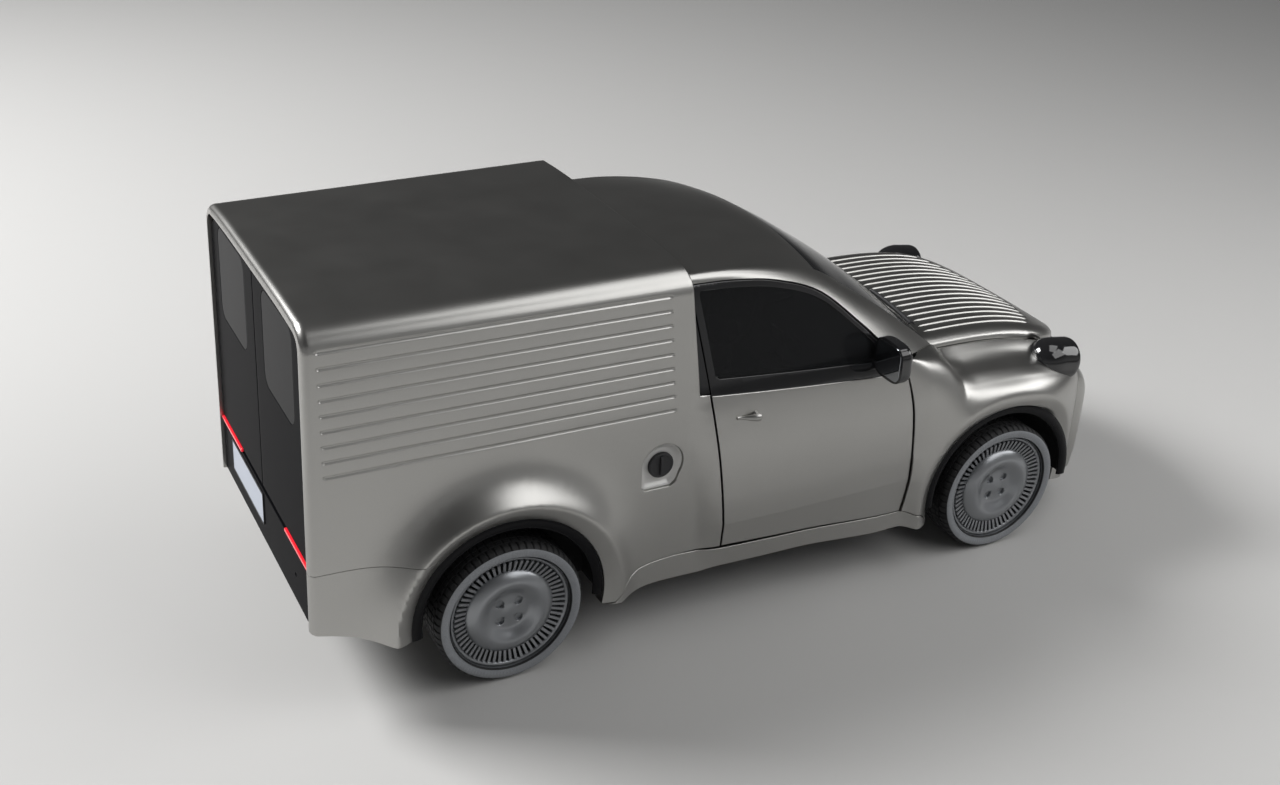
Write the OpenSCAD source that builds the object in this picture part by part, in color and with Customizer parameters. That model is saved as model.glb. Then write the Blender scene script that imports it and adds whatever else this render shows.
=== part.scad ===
// Two-seat panel van with a box-shaped load space behind a car-like cab.
// Millimetres. +X forward, +Y left, +Z up. The origin lies on the ground under the middle of the van.

/* [Overall] */
// Distance between the axles
wheelbase = 2540; // [2400:10:2700]
// Front axle to the tip of the nose
front_overhang = 810; // [780:5:840]
// Rear axle to the tail
rear_overhang = 810; // [760:5:860]
// Distance between the middle planes of the tyres on one axle
track = 1470; // [1440:5:1490]
// Gap along every shut line
shut_gap = 8; // [6:0.5:10]

/* [Load box] */
// Height of the load box roof above the ground
box_h = 1716; // [1680:2:1760]
// Width of the load box at the tail
box_tail_w = 1474; // [1460:2:1490]
// Width of the load box at its front edge
box_front_w = 1544; // [1530:2:1560]
// Radius of the long roof edges
box_edge_r = 85; // [78:1:92]
// Thickness of the load box walls and roof
box_wall = 40; // [30:1:50]
// Rear axle to the front edge of the load box at the roof
box_front = 800; // [780:2:820]
// Number of pressed grooves on each side of the load box
groove_count = 9; // [5:1:11]
// Height of the lowest groove
groove_low = 1092; // [1080:2:1110]
// Height between two grooves
groove_pitch = 65; // [58:1:66]
// Radius of a pressed groove
groove_r = 9; // [6:0.5:11]
// Width of the window in each rear door
rear_window_w = 430; // [380:2:450]
// Height of the window in each rear door
rear_window_h = 420; // [360:2:440]
// Radius of the threaded towing socket in the tail
tow_r = 8; // [6:0.5:10]

/* [Cab] */
// Height of the cab roof at its middle
cab_h = 1662; // [1640:2:1680]
// Height from the waist line below the side window up to the cab roof
glasshouse_h = 554; // [545:1:565]
// Half width of the doors at their widest
door_half_w = 838; // [825:1:845]
// Thickness of a side door
door_t = 62; // [50:1:70]
// Thickness of the window glass
glass_t = 6; // [4:0.5:8]
// Width of the black frame round the side window
frame_w = 34; // [28:1:44]

/* [Bonnet and wings] */
// Height of the bonnet at the windscreen
bonnet_h = 1050; // [1040:1:1060]
// Half width of the bonnet
bonnet_half_w = 545; // [535:1:555]
// Thickness of the bonnet
bonnet_t = 22; // [18:1:28]
// Number of ribs along the bonnet
rib_count = 17; // [9:2:19]
// Distance between two ribs
rib_pitch = 56; // [50:1:58]
// Width of a rib
rib_w = 9; // [6:0.5:12]
// Height of a rib above the bonnet
rib_h = 6; // [3:0.5:8]
// Thickness of the wings and of the nose
wing_t = 24; // [20:1:30]
// Diameter of a headlamp pod
lamp_d = 252; // [235:1:260]

/* [Wheels] */
// Outer diameter of a tyre
tyre_d = 650; // [630:2:660]
// Width of a tyre
tyre_w = 205; // [195:1:215]
// Diameter of the rim at the tyre's bead
rim_d = 536; // [510:2:546]
// Number of slots round the wheel disc
slot_count = 60; // [40:2:72]
// Width of a slot in the wheel disc
slot_w = 7; // [4:0.5:9]
// Length of a slot in the wheel disc
slot_l = 38; // [25:1:40]
// Pitch circle of the wheel bolts
bolt_circle = 108; // [98:1:114]
// Radius of the wheel arch edge
arch_r = 428; // [420:1:436]
// Height of the middle of the wheel arch
arch_z = 338; // [332:1:344]
// How far the flared arches stand out from the load box
flare_out = 84; // [76:1:90]

/* [Hidden] */
$fn = 72;

// Places along the van that follow from the driving sizes
mid = (front_overhang - rear_overhang) / 2;
belt_h = cab_h - glasshouse_h;
flare_half_w = box_front_w / 2 + flare_out;
floor_half = door_half_w - 138;
fa = wheelbase / 2 - mid;
ra = -wheelbase / 2 - mid;
tail = ra - rear_overhang;
nose_tip = fa + front_overhang;
half_gap = shut_gap / 2;
axle_z = tyre_d / 2;
wheel_y = track / 2;
arch_edge_y = flare_half_w - 41;
seat_gap = 0.3;
wing_end = fa + 560;
tail_z = 391;
tail_lean = atan(35 / (box_h - tail_z));
bumper_top = 664;
load_z = 590;
sill_z = 236;
side_top = box_h - box_edge_r;

// Smooth curve through [position, value] pairs
function slope(p, i) = i == 0 ? (p[1][1] - p[0][1]) / (p[1][0] - p[0][0]) :
    i == len(p) - 1 ? (p[i][1] - p[i - 1][1]) / (p[i][0] - p[i - 1][0]) :
    (p[i + 1][1] - p[i - 1][1]) / (p[i + 1][0] - p[i - 1][0]);
function span(p, x, i = 0) = i >= len(p) - 2 || x <= p[i + 1][0] ? i : span(p, x, i + 1);
function curve(p, x) = let (i = span(p, x), h = p[i + 1][0] - p[i][0],
    t = min(1, max(0, (x - p[i][0]) / h)), m = slope(p, i) * h, n = slope(p, i + 1) * h)
    (2 * t^3 - 3 * t^2 + 1) * p[i][1] + (t^3 - 2 * t^2 + t) * m
    + (3 * t^2 - 2 * t^3) * p[i + 1][1] + (t^3 - t^2) * n;
function ease(t) = let (c = min(1, max(0, t))) c * c * (3 - 2 * c);
function mix(a, b, t) = a + (b - a) * t;
function steps(a, b, n) = [for (i = [0:n]) a + (b - a) * i / n];

// Side of the van as half width over length x and height z
function box_half(x) = mix(box_tail_w, box_front_w, (x - tail) / (rear_overhang + box_front)) / 2;
function box_edge_x(z) = ra + box_front + 125 * (box_h - z) / (box_h - 700);
cab_side = [[220, -58], [300, -38], [390, -20], [490, -3], [505, -1], [640, 0], [850, -11], [1000, -31],
    [belt_h, -52], [belt_h + 190, -103], [belt_h + 340, -148], [cab_h - 92, -190], [cab_h - 22, -230]];
function cab_half(x, z) = door_half_w + curve(cab_side, z) - 12 * ((x - fa + 1120) / 550)^2;
function side_base(x, z) = mix(box_half(x), cab_half(x, z), ease((x - box_edge_x(z) + 190) / 270));
function flared(base, rho) = rho > 500 ?
    mix(base, flare_half_w, 1 - ease((rho - 500) / 270)) :
    flare_half_w - (flare_half_w - arch_edge_y) * min(1.15, max(0, 500 - rho) / (500 - arch_r))^1.4;
function rear_side(x, z) = let (rho = norm([x - ra, z - arch_z])) flared(side_base(x, z), rho);

// Front wing: a section at each x, from the sill up and over to the bonnet
function wing_plan(x) = x < fa ? mix(door_half_w, flare_half_w - 8, ease((x - fa + 560) / 500)) :
    (flare_half_w - 8) * (1 - ((x - fa) / front_overhang)^3)^(1 / 2.6);
function bonnet_z(x, y) = let (t = max(0, (x - fa + 270) / 700))
    bonnet_h - 88 * t^3 - 44 * (y / bonnet_half_w)^2 * (1 + 0.25 * t^2);
bonnet_turn = fa + 290;
bonnet_front = fa + 720;
function bonnet_edge(x) = x < bonnet_turn ? bonnet_half_w :
    bonnet_half_w * sqrt(max(0, 1 - ((x - bonnet_turn) / (bonnet_front - bonnet_turn))^2));
bonnet_back = fa - 270;
edge_drop = bonnet_t;
scuttle_y = [[fa - 642, 790], [fa - 355, 622], [bonnet_back, bonnet_half_w + shut_gap]];
scuttle_z = [[fa - 642, belt_h + 6], [fa - 355, bonnet_h + 4], [bonnet_back, bonnet_h - 44 - edge_drop]];
function wing_in_y(x) = x < bonnet_back ? curve(scuttle_y, x) : bonnet_edge(x) + shut_gap;
function wing_in_z(x) = x < bonnet_back ? curve(scuttle_z, x) : bonnet_z(x, bonnet_edge(x)) - edge_drop;
// Shelf beside the bonnet: how far the top of the wing falls below its plain round, over v
shelf_d = 52;
shelf_dip = [[0, 0], [0.25, 0.1], [0.5, 0.5], [0.67, 0.8], [0.83, 1], [0.92, 0.78], [1, 0]];
function shelf(x, v) = shelf_d * ease((x - fa + 430) / 260) * curve(shelf_dip, max(0, v));
wing_knee = 620;
function wing_low(x, z) = wing_plan(x) + curve(cab_side, z) * ease((fa - x) / 500 + 0.6);
function wing_point(x, v) = let (a = max(0, v) * 90, p = mix(0.5, 0.72, ease((x - fa + 600) / 400)),
    zi = wing_in_z(x), yi = wing_in_y(x),
    z = v < 0 ? mix(wing_knee, 225, -v) : mix(wing_knee, zi, sin(a)^p) - shelf(x, v),
    y0 = v < 0 ? wing_low(x, z) : mix(yi, wing_plan(x), cos(a)^p),
    y1 = v < 0 ? y0 : mix(cab_half(x, z), y0, ease((x - fa + 642) / 170)),
    rho = norm([x - fa, z - arch_z]),
    swell = v > 0.5 ? 0 : (1 - ease((rho - 500) / 120)) * (1 - 2 * max(0, v)),
    y2 = rho > 500 ? mix(y1, max(y1, flare_half_w), swell) : min(y1, flared(y1, rho)))
    [x, y2, z];

// Glasshouse: the line where roof and windscreen meet the side frames, and the top edge of the doors
rail = [[ra + 795, 592, cab_h - 40], [ra + 1070, 588, cab_h - 47], [fa - 1220, 574, cab_h - 82],
    [fa - 1020, 562, cab_h - 140], [fa - 820, 570, cab_h - 262], [fa - 600, 588, cab_h - 412],
    [fa - 355, 600, bonnet_h + 12]];
function rail_at(s) = [for (k = [0:2]) curve([for (i = [0:6]) [i, rail[i][k]]], s)];
function crown_x(s) = curve([[0, 0], [2, 0], [3, 25], [4, 45], [5, 58], [6, 70]], s);
function crown_z(s) = curve([[0, 40], [1, 45], [2, 48], [3, 45], [4, 40], [5, 28], [6, -8]], s);
function shell_at(s, w) = let (r = rail_at(s), c = 1 - w^2)
    [r[0] + crown_x(s) * c, r[1] * w, r[2] + crown_z(s) * c];
door_top = [[ra + 866, cab_h - 82], [ra + 1070, cab_h - 88], [fa - 1270, cab_h - 115],
    [fa - 1058, cab_h - 192], [fa - 850, belt_h + 187], [fa - 758, belt_h + 99], [fa - 642, belt_h + 4]];
door_rear = [[377, ra + 1008], [780, ra + 967], [1126, ra + 922], [cab_h - 82, ra + 866]];
door_front = [[327, fa - 574], [420, fa - 562], [545, fa - 556], [757, fa - 565], [900, fa - 580],
    [1050, fa - 616], [belt_h + 4, fa - 642]];
function belt(x) = belt_h - 0.055 * (x - 45);
door_points = concat(
    [for (z = steps(377, cab_h - 82, 12)) [curve(door_rear, z), z]],
    [for (x = steps(ra + 890, fa - 660, 22)) [x, curve(door_top, x)]],
    [for (z = steps(belt_h + 4, 327, 12)) [curve(door_front, z), z]]);
window_points = concat(
    [for (z = steps(belt(ra + 900) + 66, cab_h - 82 - frame_w, 6)) [curve(door_rear, z) + frame_w + 6, z]],
    [for (x = steps(ra + 930, fa - 860, 16)) [x + frame_w * 0.35, curve(door_top, x) - frame_w]],
    [[fa - 800, belt(fa - 800) + 66]]);

// Solid between an outer and an inner grid of points; rows run forward, columns run up the left side
module grid_solid(outer, inner) {
    rows = len(outer);
    cols = len(outer[0]);
    n = rows * cols;
    last = (rows - 1) * cols;
    edge = cols - 1;
    corners = [for (i = [0:rows - 2], j = [0:cols - 2]) i * cols + j];
    polyhedron([for (r = outer) each r, for (r = inner) each r], concat(
        [for (k = corners) each [[k, k + cols, k + cols + 1], [k, k + cols + 1, k + 1]]],
        [for (k = corners) let (c = n + k) each [[c, c + cols + 1, c + cols], [c, c + 1, c + cols + 1]]],
        [for (i = [0:cols:last - 1]) each [[i, n + i, n + i + cols], [i, n + i + cols, i + cols]]],
        [for (i = [edge:cols:last]) each [[i, n + i + cols, n + i], [i, i + cols, n + i + cols]]],
        [for (j = [0:edge - 1]) each [[j, j + 1, n + j + 1], [j, n + j + 1, n + j]]],
        [for (j = [last:last + edge - 1]) each [[j, n + j + 1, j + 1], [j, n + j, n + j + 1]]]));
}

// Prism across the van over an outline drawn in side view, [x, z] points
module across(points, y0 = 300, y1 = 1000, grow = 0) {
    translate([0, y1, 0]) rotate([90, 0, 0]) linear_extrude(y1 - y0) offset(delta = grow) polygon(points);
}
module pin_y(x, z, y0, y1, r) {
    translate([x, y1, z]) rotate([90, 0, 0]) cylinder(r = r, h = y1 - y0);
}
module block(x, y, z) {
    translate([x[0], y[0], z[0]]) cube([x[1] - x[0], y[1] - y[0], z[1] - z[0]]);
}
module both() {
    children();
    mirror([0, 1, 0]) children();
}

// Flared side panel of the load box: stations lean with the tail and with the front edge
function tail_shift(z) = 35 * max(0, z - tail_z) / (box_h - tail_z);
function quarter_front(z) = z > belt(ra + 880) ? box_edge_x(z) : curve(door_rear, z) - shut_gap;
quarter_foot = [[ra - 210, 300], [ra, 290], [ra + 400, 248], [ra + 470, 262], [ra + 520, 330],
    [ra + 600, 364], [ra + 800, 372], [ra + 1008, 377]];
function quarter_low(x) = x < ra - 250 ? bumper_top + half_gap : curve(quarter_foot, x);
function bumper_low(x) = curve([[tail, tail_z], [ra - 470, 312], [ra - 420, 306], [ra - 270, 300]], x);
function quarter_x(x, z) = x + tail_shift(z) * (1 - ease((x - tail) / 300))
    + (quarter_front(z) - ra - 1000) * ease((x - ra - 560) / 440);
function quarter_point(x, z, inner) = let (q = quarter_x(x, z))
    [q, inner ? box_half(q) - box_wall : rear_side(q, z), z];
quarter_xs = concat(steps(tail, ra - 262, 7), steps(ra - 210, ra + 1000, 15));
quarter_tops = [belt(ra + 880) - 8, belt(ra + 880) + 2, side_top];
function quarter_zs(x) = concat([for (v = steps(0, 1, 10)) mix(quarter_low(x), 1100, v)], quarter_tops);
module load_wall() {
    grid_solid([for (x = quarter_xs) [for (z = quarter_zs(x)) quarter_point(x, z, false)]],
        [for (x = quarter_xs) [for (z = quarter_zs(x)) quarter_point(x, z, true)]]);
}
module bumper_wall() {
    xs = steps(tail, ra - 270, 7);
    function zs(x) = [for (v = steps(0, 1, 5)) mix(bumper_low(x), bumper_top - half_gap, v)];
    grid_solid([for (x = xs) [for (z = zs(x)) quarter_point(x, z, false)]],
        [for (x = xs) [for (z = zs(x)) quarter_point(x, z, true)]]);
}
module side_groove(z, x1) {
    x0 = tail + 84;
    y0 = box_half(x0) + groove_r * 0.45;
    y1 = box_half(x1) + groove_r * 0.45;
    translate([x0, y0, z]) rotate([0, 0, atan2(y1 - y0, x1 - x0)]) rotate([0, 90, 0]) {
        cylinder(r = groove_r, h = norm([x1 - x0, y1 - y0]), $fn = 24);
    }
}

// Floor of the cab with the toe board, the scuttle shelf and the cross member below the load floor
module floor_pan() color("dimgray") {
    difference() {
        union() {
            block([ra + 720, fa - 400], [-floor_half, floor_half], [262, 292]);
            block([fa - 420, fa - 400], [-floor_half, floor_half], [292, 880]);
            block([fa - 420, fa - 330], [-538, 538], [860, 880]);
            block([ra + 720, ra + 750], [-floor_half, floor_half], [292, load_z - 30]);
            both() {
                block([pivot_x - 16, fa - 400], [floor_half - 10, floor_half], [292, 800]);
                block([pivot_x - 16, fa - 400], [floor_half - 1, floor_half + 35], [420, 800]);
                for (z = hinge_zs) door_arm(z);
                bonnet_bracket();
            }
        }
        for (s = [-1, 1]) pin_y(fa, arch_z, s * 700 - 300, s * 700 + 300, arch_r + 20);
    }
}
module door_arm(z) {
    block([pivot_x - 8, pivot_x + 8], [floor_half + 30, pivot_y], [z, z + 14]);
    translate([pivot_x, pivot_y, z]) cylinder(r = 9, h = 14);
    translate([pivot_x, pivot_y, z - 34]) cylinder(r = door_pin_r, h = 40);
}
module bonnet_bracket() {
    block([fa - 340, hinge_x + 10], [hinge_y - 30, hinge_y + 30], [860, 880]);
    block([hinge_x - 10, hinge_x + 10], [hinge_y + 10, hinge_y + 20], [870, hinge_z]);
    pin_y(hinge_x, hinge_z, hinge_y + 10, hinge_y + 20, 10);
    pin_y(hinge_x, hinge_z, hinge_y - 12, hinge_y + 15, hood_pin_r);
}

// Floor of the load space over the rear axle
module load_floor() color("gray") {
    between = wheel_y - 122;
    level = [load_z - 30, load_z];
    block([tail + 80, ra + 750], [-between, between], level);
    both() {
        block([ra + 432, ra + 750], [between + seat_gap, box_half(ra) - box_wall - seat_gap], level);
        block([tail + 80, ra - 432], [between + seat_gap, box_half(tail) - box_wall - seat_gap], level);
    }
}

// Sills below the doors
sill_points = concat([[ra + 470, 258], [ra + 520, 330 - shut_gap], [ra + 600, 366 - shut_gap]],
    [for (u = steps(0, 1, 6)) [mix(ra + 800, fa - 574, u), mix(372, 327, u) - shut_gap]],
    [[fa - 470, 300 - shut_gap], [fa - 410, sill_z + 4], [fa - 430, sill_z - 12], [fa - 600, sill_z],
    [ra + 600, sill_z + 20]]);
module sills() color("silver") both() intersection() {
    xs = steps(ra + 440, fa - 400, 10);
    zs = steps(205, 390, 3);
    grid_solid([for (x = xs) [for (z = zs) [x, cab_half(x, z), z]]],
        [for (x = xs) [for (z = zs) [x, floor_half + seat_gap, z]]]);
    across(sill_points);
}

// Cab roof skin between the side frames
module cab_roof() color("silver") {
    rows = steps(0, 3, 8);
    cols = steps(1, -1, 12);
    grid_solid([for (s = rows) [for (w = cols) shell_at(s, w)]],
        [for (s = rows) [for (w = cols) shell_at(s, w) - [0, 0, 34]]]);
}

// Body-coloured cant rails, windscreen pillars and the dark posts behind the doors
module side_frames() color("silver") both() difference() {
    union() {
        side_band();
        post_band();
    }
    across(door_points, 300, 1000, half_gap);
}
function door_top_at(s) = let (x = mix(ra + 866, fa - 642, s), z = curve(door_top, x)) [x, cab_half(x, z), z];
module side_band() {
    rows = steps(0, 6, 20);
    function band(s, w, d) = let (a = door_top_at(s / 6), b = rail_at(s) + [0, seat_gap, 0],
        o = 14 * w * (1 - w) * 4)
        mix(a, b, w) + [0, o * 0.7, o * 0.7] - d * [0, 0.7 * (1 - w), mix(0.7, 1, w)];
    grid_solid([for (s = rows) [for (w = [0, 0.35, 0.7, 1]) band(s, w, 0)]],
        [for (s = rows) [for (w = [0, 0.35, 0.7, 1]) band(s, w, 34)]]);
}
module post_band() {
    rows = steps(0, 1, 2);
    zs = steps(belt(ra + 880) + 4, cab_h - 96, 5);
    function post(u, z, d) = let (x = mix(box_edge_x(z) + seat_gap, curve(door_rear, z) + 20, u))
        [x, cab_half(x, z) - 4 - d, z];
    grid_solid([for (u = rows) [for (z = zs) post(u, z, 0)]], [for (u = rows) [for (z = zs) post(u, z, 60)]]);
}

// Curved windscreen
module windscreen() color("darkslategray") {
    rows = steps(3.02, 6, 9);
    cols = steps(0.9998, -0.9998, 12);
    grid_solid([for (s = rows) [for (w = cols) shell_at(s, w) - [0, 0, 3]]],
        [for (s = rows) [for (w = cols) shell_at(s, w) - [0, 0, 3 + glass_t * 1.3]]]);
}

// Dashboard across the cab
dash_points = [[fa - 420 - seat_gap, 620], [fa - 720, 640], [fa - 760, 760], [fa - 740, 930], [fa - 640, 985],
    [fa - 420 - seat_gap, 985]];
module dashboard() color("black") across(dash_points, 60 - floor_half, floor_half - 60);

// Steering wheel on its column, on the left
module steering_wheel() color("black") difference() {
    translate([fa - 850, 360, 905]) rotate([0, 118, 0]) {
        rotate_extrude($fn = 48) translate([178, 0]) circle(r = 15, $fn = 16);
        translate([0, 0, -18]) cylinder(r = 62, h = 30);
        for (a = [0, 120, 240]) rotate([0, 0, a + 60]) translate([55, -16, -8]) cube([116, 32, 14]);
        translate([0, 0, 10]) cylinder(r = 30, h = 140);
    }
    across(dash_points, -700, 700, seat_gap);
}

// Two seats: cushion, backrest and headrest
module seats() color("dimgray") both() {
    across([[fa - 1460, 292], [fa - 1020, 292], [fa - 980, 420], [fa - 960, 520], [fa - 1010, 560],
        [fa - 1440, 510]], 130, 600);
    across([[fa - 1460, 500 + seat_gap], [fa - 1442, 510 + seat_gap], [fa - 1330, 524], [fa - 1480, 1080],
        [fa - 1560, 1085], [fa - 1590, 1040]], 140, 590);
    across([[fa - 1482, 1080 + seat_gap], [fa - 1540, 1270], [fa - 1620, 1270], [fa - 1600, 1100],
        [fa - 1558, 1085 + seat_gap]], 230, 500);
}

// Wall between the cab and the load space, closing the front of the box
bulk_x = ra + 751;
module bulkhead() color("silver") bulk_plate();
module bulk_plate() {
    hw = box_half(bulk_x) - box_edge_r;
    r = box_edge_r - box_wall - seat_gap;
    function corner(a) = [hw + r * cos(a), side_top + (r - 12) * sin(a)];
    translate([bulk_x, 0, 0]) rotate([90, 0, 90]) linear_extrude(30) polygon(concat(
        [[1 - floor_half, 293], [floor_half - 1, 293], [floor_half - 1, 400], [hw + r - 1, 400]],
        [for (a = steps(0, 84, 6)) corner(a) - [1, 1]],
        [for (w = steps(1, -1, 10)) [hw * w, box_h - 12 * w^4 - box_wall - seat_gap]],
        [for (a = steps(84, 0, 6)) [1 - corner(a)[0], corner(a)[1] - 1]],
        [[1 - hw - r, 400], [1 - floor_half, 400]]));
}

// Pressed side panels of the load box with the flared arches
module load_side() {
    difference() {
        load_wall();
        pin_y(ra, arch_z, 500, 1000, arch_r);
        for (i = [0:groove_count - 1]) side_groove(groove_low + i * groove_pitch, ra + 752 - 6 * i);
    }
}
module load_side_left() color("silver") load_side();
filler_x = ra + 710;
filler_z = 835;
module filler_outline(grow = 0) {
    offset(delta = grow) {
        translate([0, 8]) circle(r = 97, $fn = 48);
        translate([-97, -105]) square([97, 113]);
        translate([-97, -105]) square([150, 60]);
    }
}
module load_side_right() color("silver") difference() {
    mirror([0, 1, 0]) load_side();
    translate([filler_x, -box_half(filler_x) + 26, filler_z]) rotate([90, 0, 0]) linear_extrude(200) {
        filler_outline();
    }
}

// Round fuel filler cap at the bottom of its recess
module filler_cap() color("black") {
    translate([filler_x, -box_half(filler_x) + 26 - seat_gap, filler_z]) rotate([90, 0, 0]) {
        cylinder(r = 58, h = 14);
        translate([-48, -8, 14]) cube([96, 16, 8]);
    }
}

// Roof of the load box with its rounded long edges
module load_roof() color("silver") {
    box_roof();
    both() at_tail() translate([rear_axis_x, rear_axis_y, door_high - 34]) cylinder(r = pin_r, h = 64);
}
module box_roof() {
    xs = [tail + 35, ra, ra + box_front];
    function arc(x, a, r, s) = [x, s * (box_half(x) - box_edge_r + r * cos(a)),
        side_top + seat_gap + (r - 12) * sin(a)];
    function top(x, w, t) = [x, (box_half(x) - box_edge_r) * w, box_h - 12 * w^4 - t];
    function section(x, t) = concat([for (a = steps(0, 84, 6)) arc(x, a, box_edge_r - t, 1)],
        [for (w = steps(1, -1, 10)) top(x, w, t)],
        [for (a = steps(84, 0, 6)) arc(x, a, box_edge_r - t, -1)]);
    grid_solid([for (x = xs) section(x, 0)], [for (x = xs) section(x, box_wall)]);
}

// Corners of the rear bumper
module rear_bumper() color("silver") both() difference() {
    bumper_wall();
    pin_y(ra, arch_z, 500, 1000, arch_r);
}

// Tail frame: local x = 0 is the plane of the rim, z starts at the bottom edge
module at_tail() translate([tail, 0, tail_z]) rotate([0, tail_lean, 0]) children();
module tail_plate(x0, x1) at_tail() translate([x0, 0, 0]) rotate([90, 0, 90]) {
    linear_extrude(x1 - x0) children();
}
tail_in = box_tail_w / 2 - box_wall;
lamp_low = bumper_top - tail_z - 12;

// Gloss black panel below the rear doors
tow_y = -480;
tow_z = 130;
tow_l = 80;
module tow_rod(x, r, h) at_tail() translate([x, tow_y, tow_z]) rotate([0, 90, 0]) cylinder(r = r, h = h);
module rear_panel() color("black") difference() {
    union() {
        half_w = tail_in - seat_gap;
        tail_plate(14, 60) translate([-half_w, 4]) square([2 * half_w, lamp_low - 4]);
        block([tail + 60, tail + 80 - seat_gap], [-600, 600], [load_z - 60, load_z]);
        both() at_tail() translate([rear_axis_x, rear_axis_y, lamp_low - 20]) {
            cylinder(r = pin_r, h = door_low - lamp_low + 52);
        }
        tow_rod(40, tow_r + 10, tow_l - 20);
    }
    tow_rod(14, tow_r, tow_l);
}

// Two slim tail lamp bars
module tail_lamps() color("red") both() {
    tail_plate(8, 18) translate([346, lamp_low + seat_gap]) square([tail_in - 346 - seat_gap, 16]);
}

// Rear doors, pivoted at their outer edges, with a window in each
door_low = lamp_low + 16 + shut_gap;
door_high = box_h - tail_z - box_wall - shut_gap - 6;
door_out = tail_in - shut_gap;
door_corner = 76;
pin_r = 8;
pin_play = 0.05;
rear_axis_y = door_out - 46;
rear_axis_x = 30;
module rear_door_outline() {
    polygon(concat([[half_gap, door_low], [door_out, door_low]],
        [for (a = steps(0, 90, 6)) [door_out, door_high] + door_corner * [cos(a) - 1, sin(a) - 1]],
        [[half_gap, door_high]]));
}
module rear_window_outline(grow = 0) {
    offset(delta = grow) translate([half_gap + 134, door_high - rear_window_h - 19]) {
        square([rear_window_w, rear_window_h]);
    }
}
module rear_door() difference() {
    tail_plate(14, 60) difference() {
        rear_door_outline();
        rear_window_outline();
    }
    at_tail() translate([rear_axis_x, rear_axis_y, door_low - 1]) cylinder(r = pin_r + pin_play, h = 41);
    at_tail() translate([rear_axis_x, rear_axis_y, door_high - 40]) cylinder(r = pin_r + pin_play, h = 41);
}
module rear_door_left() color("black") rear_door();
module rear_door_right() color("black") mirror([0, 1, 0]) rear_door();
module rear_glass() tail_plate(18, 18 + glass_t) rear_window_outline(-seat_gap);
module rear_door_left_glass() color("darkslategray") rear_glass();
module rear_door_right_glass() color("darkslategray") mirror([0, 1, 0]) rear_glass();

// Headlamp pod turned about its own long axis
lamp_x = fa + 394;
lamp_y = 618;
lamp_z = 882;
module at_lamp() translate([lamp_x, lamp_y, lamp_z]) rotate([0, 98, 0]) children();
module pod(grow = 0) {
    r = lamp_d / 2 + grow;
    at_lamp() rotate_extrude($fn = 48) {
        polygon(concat([[0, 118]], [[r * 0.93, 118], [r, 92]],
            [for (a = steps(0, 90, 8)) [r * cos(a)^0.8, 20 - (150 + grow) * sin(a)]]));
    }
}

module pod_room() {
    pod(0.6);
    at_lamp() translate([0, 0, 90]) cylinder(r = lamp_d / 2 - 9, h = 300);
}

// Front wings, each one skin from the sill over the arch to the bonnet
wing_xs = concat(steps(fa - 648, fa - 440, 3), steps(fa - 400, fa + 440, 12), steps(fa + 480, wing_end, 2));
wing_vs = concat(steps(-1, -0.12, 3), steps(0, 1, 9));
module wing() difference() {
    grid_solid([for (x = wing_xs) [for (v = wing_vs) wing_point(x, v)]],
        [for (x = wing_xs) [for (v = wing_vs) let (q = wing_point(x, v), a = max(0, v) * 90)
            q - wing_t * [0, cos(a), sin(a)]]]);
    pin_y(fa, arch_z, 300, 1000, arch_r);
    across(concat(door_points, [[ra + 1008, 200], [fa - 560, 200]]), 300, 1000, half_gap);
    across([[fa - 700, 200], [fa - 380, 200], [fa - 380, sill_z + 4], [fa - 470, 300], [fa - 574, 327],
        [fa - 700, 332]]);
    pod_room();
}
module wings() color("silver") both() wing();

// Nose between the wings, below the bonnet
nose_line = [[0, nose_tip - 60, 214], [0.15, nose_tip - 18, 270], [0.4, nose_tip - 3, 430],
    [0.5, nose_tip, 510], [0.6, nose_tip - 3, 590], [0.84, nose_tip - 34, 740],
    [1, bonnet_front + shut_gap, bonnet_z(bonnet_front, 0) - edge_drop]];
function nose_mid(v) = [for (k = [1, 2]) curve([for (p = nose_line) [p[0], p[k]]], (v + 1) / 2)];
function nose_point(v, w) = let (e = wing_point(wing_end, v), m = nose_mid(v), y = e[1] * sin(w * 90),
    low = (1 - abs(sin(w * 90))^2.6)^0.5,
    xe = bonnet_fore(y) + shut_gap,
    top = (xe - wing_end) / (bonnet_front + shut_gap - wing_end), g = mix(low, max(0, top), max(0, v)^2))
    [wing_end + seat_gap + (m[0] - wing_end - seat_gap) * g, y, mix(e[2], m[1], cos(w * 90)^0.8)];
function nose_inner(v, w) = let (q = nose_point(v, w)) [
    max(wing_end + seat_gap, q[0] - 30 * cos(w * 80)), q[1] - 26 * sin(w * 90), q[2] - 24 * max(0, v)];
module nose() color("silver") difference() {
    grid_solid([for (w = steps(1, -1, 16)) [for (v = wing_vs) nose_point(v, w)]],
        [for (w = steps(1, -1, 16)) [for (v = wing_vs) nose_inner(v, w)]]);
    grille_prism(0);
    intake_prism(0);
    both() pod_room();
}
module grille_prism(grow) translate([wing_end + 20, 0, 640]) rotate([90, 0, 90]) linear_extrude(400) {
    offset(r = 40 + grow) square([680, 130], center = true);
}
module intake_prism(grow) translate([wing_end + 20, 0, 330]) rotate([90, 0, 90]) linear_extrude(400) {
    offset(r = 30 + grow) square([760, 60], center = true);
}

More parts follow.
